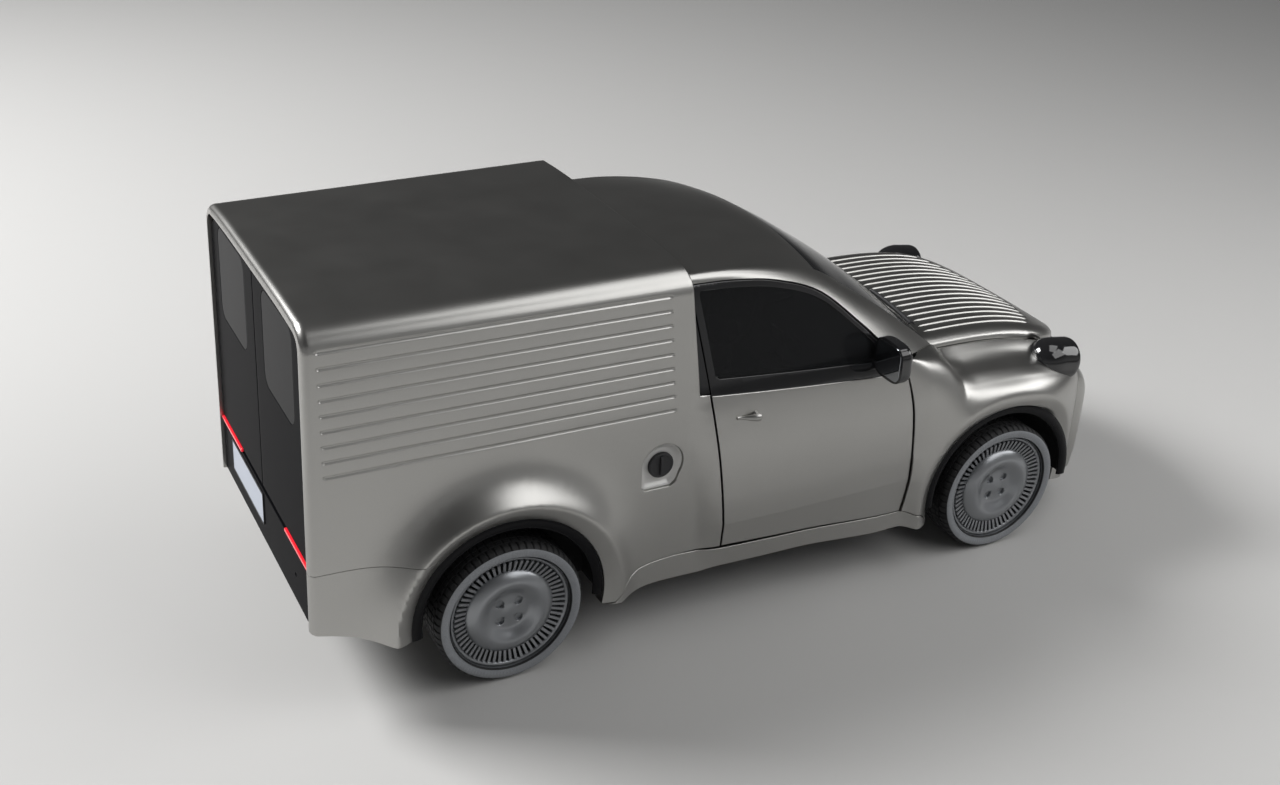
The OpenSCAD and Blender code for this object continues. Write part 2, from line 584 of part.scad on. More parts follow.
// Grille and lower intake: slats in the openings of the nose, on one carrier
module grille() color("black") {
    block([wing_end + 60, wing_end + 80], [-390, 390], [300, 720]);
    for (z = steps(570, 710, 4)) block([wing_end + 80, wing_end + 190], [-330, 330], [z - 6, z + 6]);
    for (z = [318, 342]) block([wing_end + 80, wing_end + 160], [-380, 380], [z - 6, z + 6]);
    block([wing_end - 60, wing_end + 60], [-430, 430], [420, 500]);
}

// Headlamp pods on the wings
module headlamps() color("black") both() difference() {
    pod();
    at_lamp() translate([0, 0, 86]) cylinder(r = lamp_d / 2 - 16, h = 60);
}
module headlamp_lenses() color("lightgray") both() {
    at_lamp() translate([0, 0, 86 + seat_gap]) {
        rotate_extrude($fn = 48) polygon(concat([[0, 0], [lamp_d / 2 - 16.3, 0], [lamp_d / 2 - 16.3, 24]],
            [for (a = steps(10, 90, 6)) [(lamp_d / 2 - 18) * cos(a), 22 + 22 * sin(a)]]));
    }
}

// Arch liners with the black lip inside each arch
module liner(x, y_in, y_out) difference() {
    union() {
        pin_y(x, arch_z, y_in, y_out, arch_r - seat_gap);
    }
    pin_y(x, arch_z, y_in + 10, y_out - 14, arch_r - 12);
    pin_y(x, arch_z, y_out - 15, y_out + 1, arch_r - 30);
    block([x - 500, x + 500], [y_in - 5, y_out + 5], [-200, 300]);
}
module arch_liners() color("black") both() {
    difference() {
        liner(ra, wheel_y - 122 + 2 * seat_gap, arch_edge_y - 4);
        pin_y(ra, axle_z, 500, 900, 60);
        block([ra - 60, ra + 60], [500, 900], [200, axle_z]);
    }
    difference() {
        liner(fa, 400, arch_edge_y - 4);
        block([fa - 150, fa + 150], [380, 420], [200, 560]);
    }
}

// Bonnet with its ribs, hinged behind on two lugs
hinge_x = bonnet_back + 46;
hinge_z = bonnet_h - 40;
hinge_y = 200;
hood_pin_r = 6;
function bonnet_rear(y) = bonnet_back - 62 * (y / bonnet_half_w)^2;
function bonnet_fore(y) = mix(bonnet_turn, bonnet_front, sqrt(max(0, 1 - (y / bonnet_half_w)^2)));
bonnet_ys = [for (a = steps(90, -90, 18)) bonnet_half_w * sin(a)];
module bonnet() color("silver") bonnet_skin();
module bonnet_skin() {
    function line(y, t) = [for (x = steps(bonnet_rear(y), bonnet_fore(y), 11)) [x, y, bonnet_z(x, y) - t]];
    outer = [for (i = [0:11]) [for (y = bonnet_ys) line(y, 0)[i]]];
    inner = [for (i = [0:11]) [for (y = bonnet_ys) line(y, bonnet_t)[i]]];
    difference() {
        union() {
            grid_solid(outer, inner);
            for (i = [0:rib_count - 1]) bonnet_rib((i - (rib_count - 1) / 2) * rib_pitch);
            for (s = [-1, 1]) translate([hinge_x, s * hinge_y, hinge_z]) {
                rotate([90, 0, 0]) cylinder(r = 15, h = 16, center = true);
                translate([-15, -8, 0]) cube([30, 16, 24]);
            }
        }
        for (s = [-1, 1]) pin_y(hinge_x, hinge_z, s * hinge_y - 20, s * hinge_y + 20, hood_pin_r + pin_play);
        both() pod(shut_gap);
    }
}
module bonnet_rib(y) {
    x0 = bonnet_rear(y) + 40;
    x1 = mix(bonnet_rear(y), bonnet_fore(y), 0.8);
    xs = steps(x0, x1, 8);
    function rise(x) = rib_h * min(1, 4 * min(x - x0, x1 - x) / (x1 - x0));
    across(concat([for (x = xs) [x, bonnet_z(x, y) + rise(x) - 0.5]],
        [for (i = [8:-1:0]) [xs[i], bonnet_z(xs[i], y) - 10]]), y - rib_w / 2, y + rib_w / 2);
}

// Front subframe with the suspension arms and the steering pivots
king_y = wheel_y - 55;
king_r = 12;
stub_r = 20;
module subframe() color("dimgray") {
    block([fa - 200, fa + 180], [-400, 400], [232, 268]);
    both() {
        block([fa - 400 + seat_gap, fa - 200], [250, 330], [232, 268]);
        block([fa - 40, fa + 40], [366, 400], [268, 500]);
        block([fa - 22, fa + 22], [400, king_y], [axle_z - 80, axle_z - 64]);
        block([fa - 22, fa + 22], [400, king_y], [axle_z + 124, axle_z + 140]);
        translate([fa, king_y, axle_z - 80]) cylinder(r = 22, h = 16);
        translate([fa, king_y, axle_z + 124]) cylinder(r = 22, h = 16);
        translate([fa, king_y, axle_z - 64]) cylinder(r = king_r, h = 30);
        translate([fa, king_y, axle_z + 94]) cylinder(r = king_r, h = 30);
    }
    both() {
        block([fa + 180, wing_end - 60 - seat_gap], [345, 395], [240, 300]);
        block([wing_end - 100, wing_end - 60 - seat_gap], [345, 395], [300, 500]);
    }
}

// Engine and gearbox as one block
module engine() color("gray") block([fa - 180, fa + 330], [-340, 340], [268 + seat_gap, 830]);

// Rear axle beam with trailing arms and stub axles
module rear_axle() color("dimgray") {
    pin_y(ra, axle_z, -wheel_y - 60, wheel_y + 60, stub_r);
    pin_y(ra, axle_z, -wheel_y + 112, wheel_y - 112, 45);
    both() {
        block([ra - 20, ra + 700], [470, 530], [axle_z - 25, axle_z + 25]);
        block([ra + 660, ra + 720 - seat_gap], [470, 530], [axle_z + 25, load_z - 30 - seat_gap]);
        translate([ra - 90, 500, axle_z + 10]) cylinder(r = 45, h = load_z - 40 - axle_z - seat_gap);
        block([ra - 140, ra - 10], [455, 545], [axle_z - 5, axle_z + 12]);
    }
}

// Fuel tank and exhaust below the floor
module fuel_tank() color("black") block([ra + 130, ra + 640], [-420, 420], [380, load_z - 30 - seat_gap]);
module exhaust() color("gray") {
    rotate([0, 90, 0]) translate([-430, -300, tail + 160]) cylinder(r = 70, h = 420);
    rotate([0, 90, 0]) translate([-430, -300, tail + 90]) cylinder(r = 24, h = 80);
    block([tail + 300, tail + 340], [-310, -290], [495, load_z - 30 - seat_gap]);
}

// Side doors: one thick panel with the window cut, a pull handle, and pivot bores at the front edge
pivot_x = fa - 604;
pivot_y = door_half_w - 27;
hinge_zs = [480, 735];
door_pin_r = 5;
door_xs = steps(ra + 855, fa - 545, 10);
glass_zs = steps(belt_h + 2, cab_h - 70, 5);
door_zs = concat([318, 400, 490, 505], steps(600, belt_h - 80, 4), glass_zs);
module door_slab(d0, d1, xs, zs) {
    grid_solid([for (x = xs) [for (z = zs) [x, cab_half(x, z) - d0, z]]],
        [for (x = xs) [for (z = zs) [x, cab_half(x, z) - d1, z]]]);
}
handle_x = fa - 1440;
handle_z = belt_h - 98;
handle_l = 124;
module handle(y) {
    half_l = handle_l / 2;
    block([handle_x - half_l, handle_x + half_l], [y + 20, y + 32], [handle_z - 10, handle_z + 10]);
    for (s = [-1, 1]) translate([handle_x + s * (half_l - 10), y - 20, handle_z]) rotate([-90, 0, 0]) {
        cylinder(r = 8, h = 42);
    }
}
module door() difference() {
    union() {
        intersection() {
            door_slab(0, door_t, door_xs, door_zs);
            across(door_points, 300, 1000, -half_gap);
        }
        handle(cab_half(handle_x, handle_z));
    }
    across(window_points);
    for (z = hinge_zs) {
        block([pivot_x - 14, pivot_x + 60], [600, pivot_y + 12], [z - 6, z + 20]);
        translate([pivot_x, pivot_y, z - 40]) cylinder(r = door_pin_r + pin_play, h = 40);
    }
}
module door_left() color("silver") door();
module door_right() color("silver") mirror([0, 1, 0]) door();
module door_glass() intersection() {
    door_slab(4, 4 + glass_t, door_xs, glass_zs);
    across(window_points, 300, 1000, -seat_gap);
}
module door_left_glass() color("darkslategray") door_glass();
module door_right_glass() color("darkslategray") mirror([0, 1, 0]) door_glass();

// Door mirror with its foot
mirror_h = belt_h + 72;
module door_mirror() {
    y = cab_half(fa - 780, mirror_h);
    hull() {
        translate([fa - 775, y + 60, mirror_h - 50]) sphere(r = 42, $fn = 20);
        translate([fa - 775, y + 175, mirror_h - 45]) sphere(r = 40, $fn = 20);
        translate([fa - 780, y + 70, mirror_h + 55]) sphere(r = 40, $fn = 20);
        translate([fa - 780, y + 165, mirror_h + 50]) sphere(r = 42, $fn = 20);
    }
    difference() {
        block([fa - 810, fa - 750], [y - 30, y + 40], [mirror_h - 60, mirror_h - 15]);
        door_slab(-seat_gap, 60, steps(fa - 830, fa - 730, 2), steps(mirror_h - 80, mirror_h + 10, 2));
    }
}
module door_left_mirror() color("black") door_mirror();
module door_right_mirror() color("black") mirror([0, 1, 0]) door_mirror();

// Front knuckles with the stub axles
module knuckle() difference() {
    union() {
        block([fa - 32, fa + 32], [king_y - 28, king_y + 28], [axle_z - 62, axle_z + 122]);
        pin_y(fa, axle_z, king_y, wheel_y + 60, stub_r);
    }
    translate([fa, king_y, axle_z - 70]) cylinder(r = king_r + pin_play, h = 44);
    translate([fa, king_y, axle_z + 86]) cylinder(r = king_r + pin_play, h = 44);
}
module knuckle_left() color("dimgray") knuckle();
module knuckle_right() color("dimgray") mirror([0, 1, 0]) knuckle();

// Wheels: turned tyre and rim on the stub axle
module turned(x, s) translate([x, s * wheel_y, axle_z]) rotate([-s * 90, 0, 0]) rotate_extrude() children();
module tyre(x, s) color("black") turned(x, s) {
    r = tyre_d / 2;
    w = tyre_w / 2;
    b = rim_d / 2 + seat_gap;
    polygon([[b, -w + 14], [b + 12, -w + 4], [r - 26, -w], [r - 8, -w + 14], [r, -w + 34], [r, w - 34],
        [r - 8, w - 14], [r - 26, w], [b + 12, w - 4], [b, w - 14]]);
}
module rim(x, s) color("lightgray") difference() {
    turned(x, s) {
        b = rim_d / 2;
        w = tyre_w / 2;
        c = stub_r + pin_play;
        polygon([[c, 14], [62, 14], [62, 44], [140, 62], [b - 20, 72], [b - 20, -w + 8],
            [b, -w + 8], [b, w - 8], [b - 14, w - 8], [b - 18, 84], [150, 80], [140, 70],
            [64, 58], [58, 66], [0, 66], [0, 61], [c, 61]]);
    }
    translate([x, s * wheel_y, axle_z]) rotate([-s * 90, 0, 0]) {
        for (a = [45:90:315]) rotate([0, 0, a]) translate([bolt_circle / 2, 0, 40]) {
            cylinder(r = 11, h = 60, $fn = 24);
        }
        for (i = [0:slot_count - 1]) rotate([0, 0, i * 360 / slot_count]) {
            translate([rim_d / 2 - 23 - slot_l, -slot_w / 2, 50]) cube([slot_l, slot_w, 60]);
        }
    }
}
module tyre_front_left() tyre(fa, 1);
module tyre_front_right() tyre(fa, -1);
module tyre_rear_left() tyre(ra, 1);
module tyre_rear_right() tyre(ra, -1);
module rim_front_left() rim(fa, 1);
module rim_front_right() rim(fa, -1);
module rim_rear_left() rim(ra, 1);
module rim_rear_right() rim(ra, -1);

floor_pan();
load_floor();
sills();
cab_roof();
side_frames();
windscreen();
dashboard();
steering_wheel();
seats();
bulkhead();
load_side_left();
load_side_right();
load_roof();
rear_bumper();
rear_panel();
tail_lamps();
filler_cap();
wings();
nose();
grille();
headlamps();
headlamp_lenses();
arch_liners();
subframe();
engine();
rear_axle();
fuel_tank();
exhaust();
bonnet();
door_left();
door_left_glass();
door_left_mirror();
door_right();
door_right_glass();
door_right_mirror();
rear_door_left();
rear_door_left_glass();
rear_door_right();
rear_door_right_glass();
knuckle_left();
knuckle_right();
tyre_front_left();
rim_front_left();
tyre_front_right();
rim_front_right();
tyre_rear_left();
rim_rear_left();
tyre_rear_right();
rim_rear_right();
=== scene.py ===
import math

import bmesh
import bpy
import numpy as np
from mathutils import Matrix, Vector, geometry


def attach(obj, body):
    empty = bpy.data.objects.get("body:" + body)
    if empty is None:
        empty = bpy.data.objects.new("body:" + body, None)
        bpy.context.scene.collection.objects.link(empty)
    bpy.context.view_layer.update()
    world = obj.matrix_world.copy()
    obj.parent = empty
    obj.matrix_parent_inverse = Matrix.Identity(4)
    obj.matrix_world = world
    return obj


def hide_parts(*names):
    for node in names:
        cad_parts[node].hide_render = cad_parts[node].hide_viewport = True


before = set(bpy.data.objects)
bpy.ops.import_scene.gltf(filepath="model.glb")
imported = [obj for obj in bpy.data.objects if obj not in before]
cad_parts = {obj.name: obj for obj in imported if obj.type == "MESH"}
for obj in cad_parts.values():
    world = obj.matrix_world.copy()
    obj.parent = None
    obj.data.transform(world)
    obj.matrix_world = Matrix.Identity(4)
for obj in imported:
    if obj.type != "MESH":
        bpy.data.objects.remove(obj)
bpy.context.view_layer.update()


# LOAD BOX
# The roof and both sides of the load box are deep-drawn sheet-steel panels, brazed along the roof edge
# and filled flush. Nine rolled grooves stiffen each side, and the lower wall swells into a flared arch.
def curve(pairs, x):
    p = np.asarray(pairs, float)
    x = np.asarray(x, float)
    px, py = p[:, 0], p[:, 1]
    m = np.empty(len(p))
    m[0] = (py[1] - py[0]) / (px[1] - px[0])
    m[-1] = (py[-1] - py[-2]) / (px[-1] - px[-2])
    m[1:-1] = (py[2:] - py[:-2]) / (px[2:] - px[:-2])
    i = np.clip(np.searchsorted(px, x, side="left") - 1, 0, len(p) - 2)
    h = px[i + 1] - px[i]
    t = np.clip((x - px[i]) / h, 0, 1)
    rise = (2 * t**3 - 3 * t**2 + 1) * py[i] + (3 * t**2 - 2 * t**3) * py[i + 1]
    return rise + ((t**3 - 2 * t**2 + t) * m[i] + (t**3 - t**2) * m[i + 1]) * h


def ease(t):
    c = np.clip(t, 0, 1)
    return c * c * (3 - 2 * c)


def mix(a, b, t):
    return a + (b - a) * t


def around(n):
    return np.linspace(0, 2 * math.pi, n, endpoint=False)


def inside(pts, loop):
    hit = np.zeros(len(pts), bool)
    for (x0, y0), (x1, y1) in zip(loop, np.roll(loop, -1, axis=0)):
        if y0 != y1:
            crosses = (pts[:, 1] < y0) != (pts[:, 1] < y1)
            hit ^= crosses & (pts[:, 0] < x0 + (pts[:, 1] - y0) * (x1 - x0) / (y1 - y0))
    return hit


def resample(loop, step):
    loop = np.asarray(loop, float)
    out = []
    for a, b in zip(loop, np.roll(loop, -1, axis=0)):
        n = max(1, int(math.ceil(np.linalg.norm(b - a) / step)))
        out += [a + (b - a) * k / n for k in range(n)]
    return np.array(out)


def inset(loop, d):
    area = np.sum(loop[:, 0] * np.roll(loop[:, 1], -1) - np.roll(loop[:, 0], -1) * loop[:, 1])
    a = loop - np.roll(loop, 1, axis=0)
    b = np.roll(loop, -1, axis=0) - loop
    a /= np.maximum(np.linalg.norm(a, axis=1), 1e-9)[:, None]
    b /= np.maximum(np.linalg.norm(b, axis=1), 1e-9)[:, None]
    n = np.stack([-(a + b)[:, 1], (a + b)[:, 0]], 1)
    n /= np.maximum(np.linalg.norm(n, axis=1), 1e-9)[:, None]
    along = np.maximum(0.35, n[:, 1] * a[:, 0] - n[:, 0] * a[:, 1])
    return loop + n * (np.broadcast_to(d, len(loop)) / along * np.sign(area))[:, None]


def clear_of(pts, loop, d):
    keep = np.ones(len(pts), bool)
    for a, b in zip(loop, np.roll(loop, -1, axis=0)):
        ab = b - a
        t = np.clip(((pts - a) @ ab) / max(ab @ ab, 1e-9), 0, 1)
        keep &= np.linalg.norm(pts - a - t[:, None] * ab, axis=1) > d
    return keep


def triangulate(loops, pts):
    verts = [Vector(p) for loop in loops for p in loop] + [Vector(p) for p in pts]
    edges, k = [], 0
    for loop in loops:
        edges += [(k + i, k + (i + 1) % len(loop)) for i in range(len(loop))]
        k += len(loop)
    v, _, f, _, _, _ = geometry.delaunay_2d_cdt(verts, edges, [], 0, 1e-4)
    v = np.array([tuple(p) for p in v])
    f = np.array([tuple(t) for t in f])
    mid = v[f].mean(axis=1)
    ok = inside(mid, loops[0])
    for hole in loops[1:]:
        ok &= ~inside(mid, hole)
    return v, f[ok]


def new_object(name, verts, faces, material, angle=40.0, weld=True):
    mesh = bpy.data.meshes.new(name)
    rows = (np.asarray(verts, float) * 0.001).tolist()
    mesh.from_pydata(rows, [], [[int(i) for i in f] for f in faces])
    bm = bmesh.new()
    bm.from_mesh(mesh)
    if weld:
        bmesh.ops.remove_doubles(bm, verts=bm.verts, dist=4e-6)
        bmesh.ops.dissolve_degenerate(bm, edges=bm.edges, dist=1e-7)
    bmesh.ops.recalc_face_normals(bm, faces=bm.faces)
    bm.to_mesh(mesh)
    bm.free()
    mesh.polygons.foreach_set("use_smooth", [True] * len(mesh.polygons))
    mesh.set_sharp_from_angle(angle=math.radians(angle))
    obj = bpy.data.objects.new(name, mesh)
    bpy.context.scene.collection.objects.link(obj)
    mesh.materials.append(material)
    even = obj.modifiers.new("even_normals", "WEIGHTED_NORMAL")
    even.keep_sharp = True
    return obj


def panel(name, loops, pts, outer, inner, material, r=3.0, step=14.0):
    loops = [resample(loop, step) for loop in loops]
    rings = []
    for i, loop in enumerate(loops):
        round_r = np.asarray(r(loop) if callable(r) else np.full(len(loop), r))
        turn = [math.pi * k / 6 for k in range(4)]
        side = 1 if i == 0 else -1
        rings.append(([inset(loop, side * round_r * (1 - math.cos(a))) for a in turn], round_r, turn))
    flat = [ring[0][3] for ring in rings]
    keep = inside(pts, flat[0]) & clear_of(pts, flat[0], step * 0.35)
    for hole in flat[1:]:
        keep &= ~inside(pts, hole) & clear_of(pts, hole, step * 0.35)
    v, f = triangulate(flat, pts[keep])
    vi, fi = triangulate([ring[0][0] for ring in rings], pts[keep][::23])
    verts = [outer(v[:, 0], v[:, 1]), inner(vi[:, 0], vi[:, 1])]
    base = len(v)
    faces = [tuple(t) for t in f] + [tuple(base + i for i in t[::-1]) for t in fi]
    base += len(vi)
    for ring, round_r, turn in rings:
        rows = [inner(ring[0][:, 0], ring[0][:, 1])]
        for loop, a in zip(ring, turn):
            top = outer(loop[:, 0], loop[:, 1])
            d = inner(loop[:, 0], loop[:, 1]) - top
            d /= np.maximum(np.linalg.norm(d, axis=1), 1e-6)[:, None]
            rows.append(top + d * (round_r * (1 - math.sin(a)))[:, None])
        n = len(ring[0])
        verts += rows
        for k in range(4):
            for i in range(n):
                j = (i + 1) % n
                faces.append((base + k * n + i, base + k * n + j, base + k * n + n + j, base + k * n + n + i))
        base += 5 * n
    return new_object(name, np.vstack(verts), faces, material)


def grid_points(xs, ys):
    a, b = np.meshgrid(np.asarray(xs, float), np.asarray(ys, float), indexing="ij")
    return np.stack([a.ravel(), b.ravel()], 1)


def stack(*parts):
    return np.stack(np.broadcast_arrays(*[np.asarray(p, float) for p in parts]), -1)


def mirrored(fn):
    return lambda u, v: fn(u, v) * np.array([1.0, -1.0, 1.0])


def finish_of(name, colour, metallic, rough, coat=0.0, flake=0.0, grain=900.0, bump=0.0, mottle=0.1):
    m = bpy.data.materials.new(name)
    m.use_nodes = True
    nt = m.node_tree
    b = nt.nodes["Principled BSDF"]
    place = nt.nodes.new("ShaderNodeTexCoord")
    fine = nt.nodes.new("ShaderNodeTexNoise")
    fine.inputs["Scale"].default_value = grain
    fine.inputs["Detail"].default_value = 2.0
    wide = nt.nodes.new("ShaderNodeTexNoise")
    wide.inputs["Scale"].default_value = 4.0
    tint = nt.nodes.new("ShaderNodeMix")
    tint.data_type = "RGBA"
    dark, pale = tint.inputs[6], tint.inputs[7]
    dark.default_value = (*[c * (1 - flake) for c in colour], 1)
    pale.default_value = (*[min(1, c * (1 + flake)) for c in colour], 1)
    soft = nt.nodes.new("ShaderNodeMapRange")
    soft.inputs["To Min"].default_value = rough * (1 - mottle)
    soft.inputs["To Max"].default_value = rough * (1 + mottle)
    nt.links.new(place.outputs["Object"], fine.inputs["Vector"])
    nt.links.new(place.outputs["Object"], wide.inputs["Vector"])
    nt.links.new(fine.outputs["Fac"], tint.inputs[0])
    nt.links.new(tint.outputs[2], b.inputs["Base Color"])
    nt.links.new(wide.outputs["Fac"], soft.inputs["Value"])
    nt.links.new(soft.outputs["Result"], b.inputs["Roughness"])
    if bump:
        dents = nt.nodes.new("ShaderNodeBump")
        dents.inputs["Strength"].default_value = bump
        dents.inputs["Distance"].default_value = 0.001
        nt.links.new(fine.outputs["Fac"], dents.inputs["Height"])
        nt.links.new(dents.outputs["Normal"], b.inputs["Normal"])
    b.inputs["Metallic"].default_value = metallic
    b.inputs["Coat Weight"].default_value = coat
    b.inputs["Coat Roughness"].default_value = 0.08
    return m


def fit(obj, body, slot, *nodes):
    if nodes:
        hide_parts(*nodes)
    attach(obj, body)
    return obj


RA, FA, TAIL = -1270.0, 1270.0, -2080.0
BOX_H, BOX_R, WALL, TAIL_Z = 1716.0, 115.0, 40.0, 391.0
BELT, CAB_H, DOOR_Y = 1108.0, 1662.0, 838.0
ARCH_R, ARCH_Z, FLARE = 428.0, 338.0, 856.0
BUMPER_TOP, SIDE_TOP, RIM_R = 664.0, BOX_H - BOX_R, 32.0
body_paint = finish_of("body_paint", (0.44, 0.435, 0.42), 1.0, 0.32, 0.0, 0.14)
cab_side = [[220, -72], [300, -51], [390, -29], [490, -4.6], [503, -1.4], [507, -0.5], [640, 0],
            [850, -11], [1000, -31], [BELT, -52], [BELT + 190, -103], [BELT + 340, -148],
            [CAB_H - 92, -190], [CAB_H - 22, -230]]
door_rear = [[377, RA + 1008], [780, RA + 967], [1126, RA + 922], [CAB_H - 82, RA + 866]]
ARC_LEN, TOP_HALF = BOX_R * math.pi / 2, 680.0
Q_ARC, Q_TOP = SIDE_TOP, SIDE_TOP + ARC_LEN
Q_MID = Q_TOP + TOP_HALF


def box_half(x):
    return mix(737.0, 772.0, (x - TAIL) / 1610.0)


def box_edge_x(z):
    return RA + 800 + 125 * (BOX_H - z) / (BOX_H - 700)


def cab_half(x, z):
    ahead = x - FA + 1120
    fuller = 0.65 * ease(ahead / 460) * (np.asarray(z) < 600)
    return DOOR_Y + curve(cab_side, z) * (1 - fuller) - 12 * (ahead / 550) ** 2


CREST_R, CREST_DROP, CREST_FADE, CREST_POWER = 500, 38, 92, 1.35


def flared(base, rho, share=1.0):
    inner = np.clip((CREST_R - rho) / (CREST_R - ARCH_R), 0, 1.15)
    crest = FLARE - CREST_DROP * inner**CREST_POWER
    outer = np.maximum(0, rho - CREST_R) / CREST_FADE
    return mix(base, crest, share * np.exp(-(outer**CREST_POWER)))


def rear_side(x, z):
    step = np.sin(np.clip((x - box_edge_x(z) + 62) / 112, 0, 1) * math.pi / 2)
    base = mix(box_half(x), cab_half(x, z), step * ease((BELT_REAR + 70 - z) / 140))
    return flared(base, np.hypot(x - RA, z - ARCH_Z))


TAIL_LEAN = 35.0
GROOVES, GROOVE_LOW, GROOVE_PITCH, GROOVE_HALF, GROOVE_DEEP = 9, 1092, 65, 9, 4.4


def tail_x(z):
    return TAIL + TAIL_LEAN * np.maximum(0, z - TAIL_Z) / (BOX_H - TAIL_Z)


def groove_depth(x, z):
    d = np.zeros(np.broadcast(x, z).shape)
    for i in range(GROOVES):
        along = np.maximum(np.maximum(TAIL + 92 - x, x - (RA + 752 - 6 * i)), 0)
        away = np.hypot(along, z - (GROOVE_LOW + GROOVE_PITCH * i)) / GROOVE_HALF
        d = np.maximum(d, np.where(away < 1, GROOVE_DEEP * (1 - away**2), 0))
    return d


def round_tail(u, z):
    start = tail_x(z) + RIM_R
    turn = np.clip((start - u) / RIM_R, 0, math.pi / 2)
    return np.where(u < start, start - RIM_R * np.sin(turn), u), RIM_R * (1 - np.cos(turn))


def box_skin(u, q, deep):
    e = Q_MID - np.abs(q - Q_MID)
    a = np.clip((e - Q_ARC) / ARC_LEN, 0, 1) * math.pi / 2
    w = np.clip((Q_MID - e) / TOP_HALF, 0, 1)
    z = np.where(e <= Q_ARC, e, SIDE_TOP + (BOX_R - 12) * np.sin(a) + 12 * (1 - w**4))
    x, sunk = round_tail(u, z)
    half = box_half(x)
    y = np.where(e <= Q_ARC, rear_side(x, z) - groove_depth(x, z),
                 np.where(e <= Q_TOP, half - BOX_R * (1 - np.cos(a)) - groove_depth(x, z),
                          (half - BOX_R) * w))
    if deep:
        y = np.where(e <= Q_ARC, half - WALL, y - WALL * np.cos(a))
        z = z - WALL * np.sin(a)
    else:
        y, z = y - sunk * np.cos(a), z - sunk * np.sin(a)
    return stack(x, np.where(q < Q_MID, -y, y), z)


def arch_arc(cx, a0, a1, n=70):
    return [(cx + ARCH_R * math.cos(t), ARCH_Z + ARCH_R * math.sin(t))
            for t in np.radians(np.linspace(a0, a1, n))]


def tail_edge(z):
    return tail_x(z) + RIM_R * (1 - math.pi / 2) + 0.01


BELT_REAR = BELT - 0.055 * (RA + 880 - 45)
rear_foot = math.degrees(math.asin((BUMPER_TOP + 1 - ARCH_Z) / ARCH_R))
front_foot = math.degrees(math.asin((250 - ARCH_Z) / ARCH_R))
low_edge = ([(tail_edge(BUMPER_TOP), BUMPER_TOP + 1.0)] + arch_arc(RA, 180 - rear_foot, front_foot)
            + [(RA + 470, 262), (RA + 495, 295), (RA + 520, 330), (RA + 552, 353), (RA + 600, 364),
               (RA + 700, 369), (RA + 800, 372)])
front_edge = ([(float(curve(door_rear, z)) - 6, z) for z in np.linspace(377, BELT_REAR - 2, 16)]
              + [(box_edge_x(z), z) for z in np.linspace(BELT_REAR + 2, SIDE_TOP, 8)]
              + [(RA + 800 + (box_edge_x(SIDE_TOP) - RA - 800) * (1 - t), SIDE_TOP + t * ARC_LEN)
                 for t in np.linspace(0.2, 1, 5)])
top_tail = tail_edge(BOX_H - 12.0)
tail_up = [(tail_edge(z), z) for z in np.linspace(BUMPER_TOP + 30, SIDE_TOP, 16)]
tail_up += [(top_tail, Q_TOP), (top_tail, Q_MID)]
right = low_edge + front_edge
half_loop = right + [(RA + 800, Q_MID)] + [(x, 2 * Q_MID - q) for x, q in right[::-1]]
box_loop = half_loop + [(x, 2 * Q_MID - q) for x, q in tail_up] + tail_up[::-1][1:]
groove_cut = np.array([-9.5, -7.5, -5, -2.5, 0, 2.5, 5, 7.5, 9.5])
groove_rows = np.concatenate([GROOVE_LOW + GROOVE_PITCH * i + groove_cut for i in range(GROOVES)])
land_rows = GROOVE_LOW - 32 + GROOVE_PITCH * np.arange(GROOVES + 1)
side_rows = np.unique(np.concatenate([np.arange(256, 1080, 17.0), groove_rows, land_rows, [SIDE_TOP]]))
top_rows = np.concatenate([Q_ARC + np.arange(7, ARC_LEN, 7.0), np.arange(Q_TOP, Q_MID, 34.0), [Q_MID - 12.0]])
half_rows = np.concatenate([side_rows, top_rows])
box_rows = np.concatenate([half_rows, 2 * Q_MID - half_rows])
box_cols = np.unique(np.concatenate([np.arange(TAIL - 24, TAIL + 72, 7.0),
                                     np.arange(TAIL + 76, TAIL + 100, 4.0),
                                     np.arange(TAIL + 104, RA + 1000, 21.0),
                                     RA + np.arange(696, 766, 6.0)]))
filler_x, filler_z, FILLER_R = RA + 710, 835.0, 97
filler_hole = ([(filler_x + FILLER_R * math.cos(t), filler_z + 8 + FILLER_R * math.sin(t))
                for t in np.linspace(math.pi, -0.55, 40)]
               + [(filler_x + 66, filler_z - 86), (filler_x + 40, filler_z - 105),
                  (filler_x - 80, filler_z - 105), (filler_x - FILLER_R, filler_z - 88)])


def box_rounding(loop):
    x, e = loop[:, 0], Q_MID - np.abs(loop[:, 1] - Q_MID)
    at_front = (x > RA + 780) & (e > BELT_REAR)
    at_tail = x < TAIL + 40
    return np.where(at_front, 9.0, np.where(at_tail | (np.abs(e - BUMPER_TOP) < 3), 0.8, 3.0))


arch_rings = np.array([(RA + r * math.cos(t), ARCH_Z + r * math.sin(t))
                       for t in np.linspace(-0.2, math.pi + 0.2, 120)
                       for r in (438, 447, 457, 468, 479, 489, 498, 507, 517, 528, 540, 554, 570, 588,
                                 608, 630)])
box_pts = grid_points(box_cols, box_rows)
low_q = Q_MID - np.abs(box_pts[:, 1] - Q_MID)
box_pts = np.concatenate([box_pts[np.hypot(box_pts[:, 0] - RA, low_q - ARCH_Z) > 642], arch_rings,
                          np.stack([arch_rings[:, 0], 2 * Q_MID - arch_rings[:, 1]], 1)])
load_box = panel("load_box_skin", [box_loop, filler_hole], box_pts, lambda u, q: box_skin(u, q, False),
                 lambda u, q: box_skin(u, q, True), body_paint, box_rounding, 16.0)
fit(load_box, "body", "body_paint", "load_side_left", "load_side_right", "load_roof")


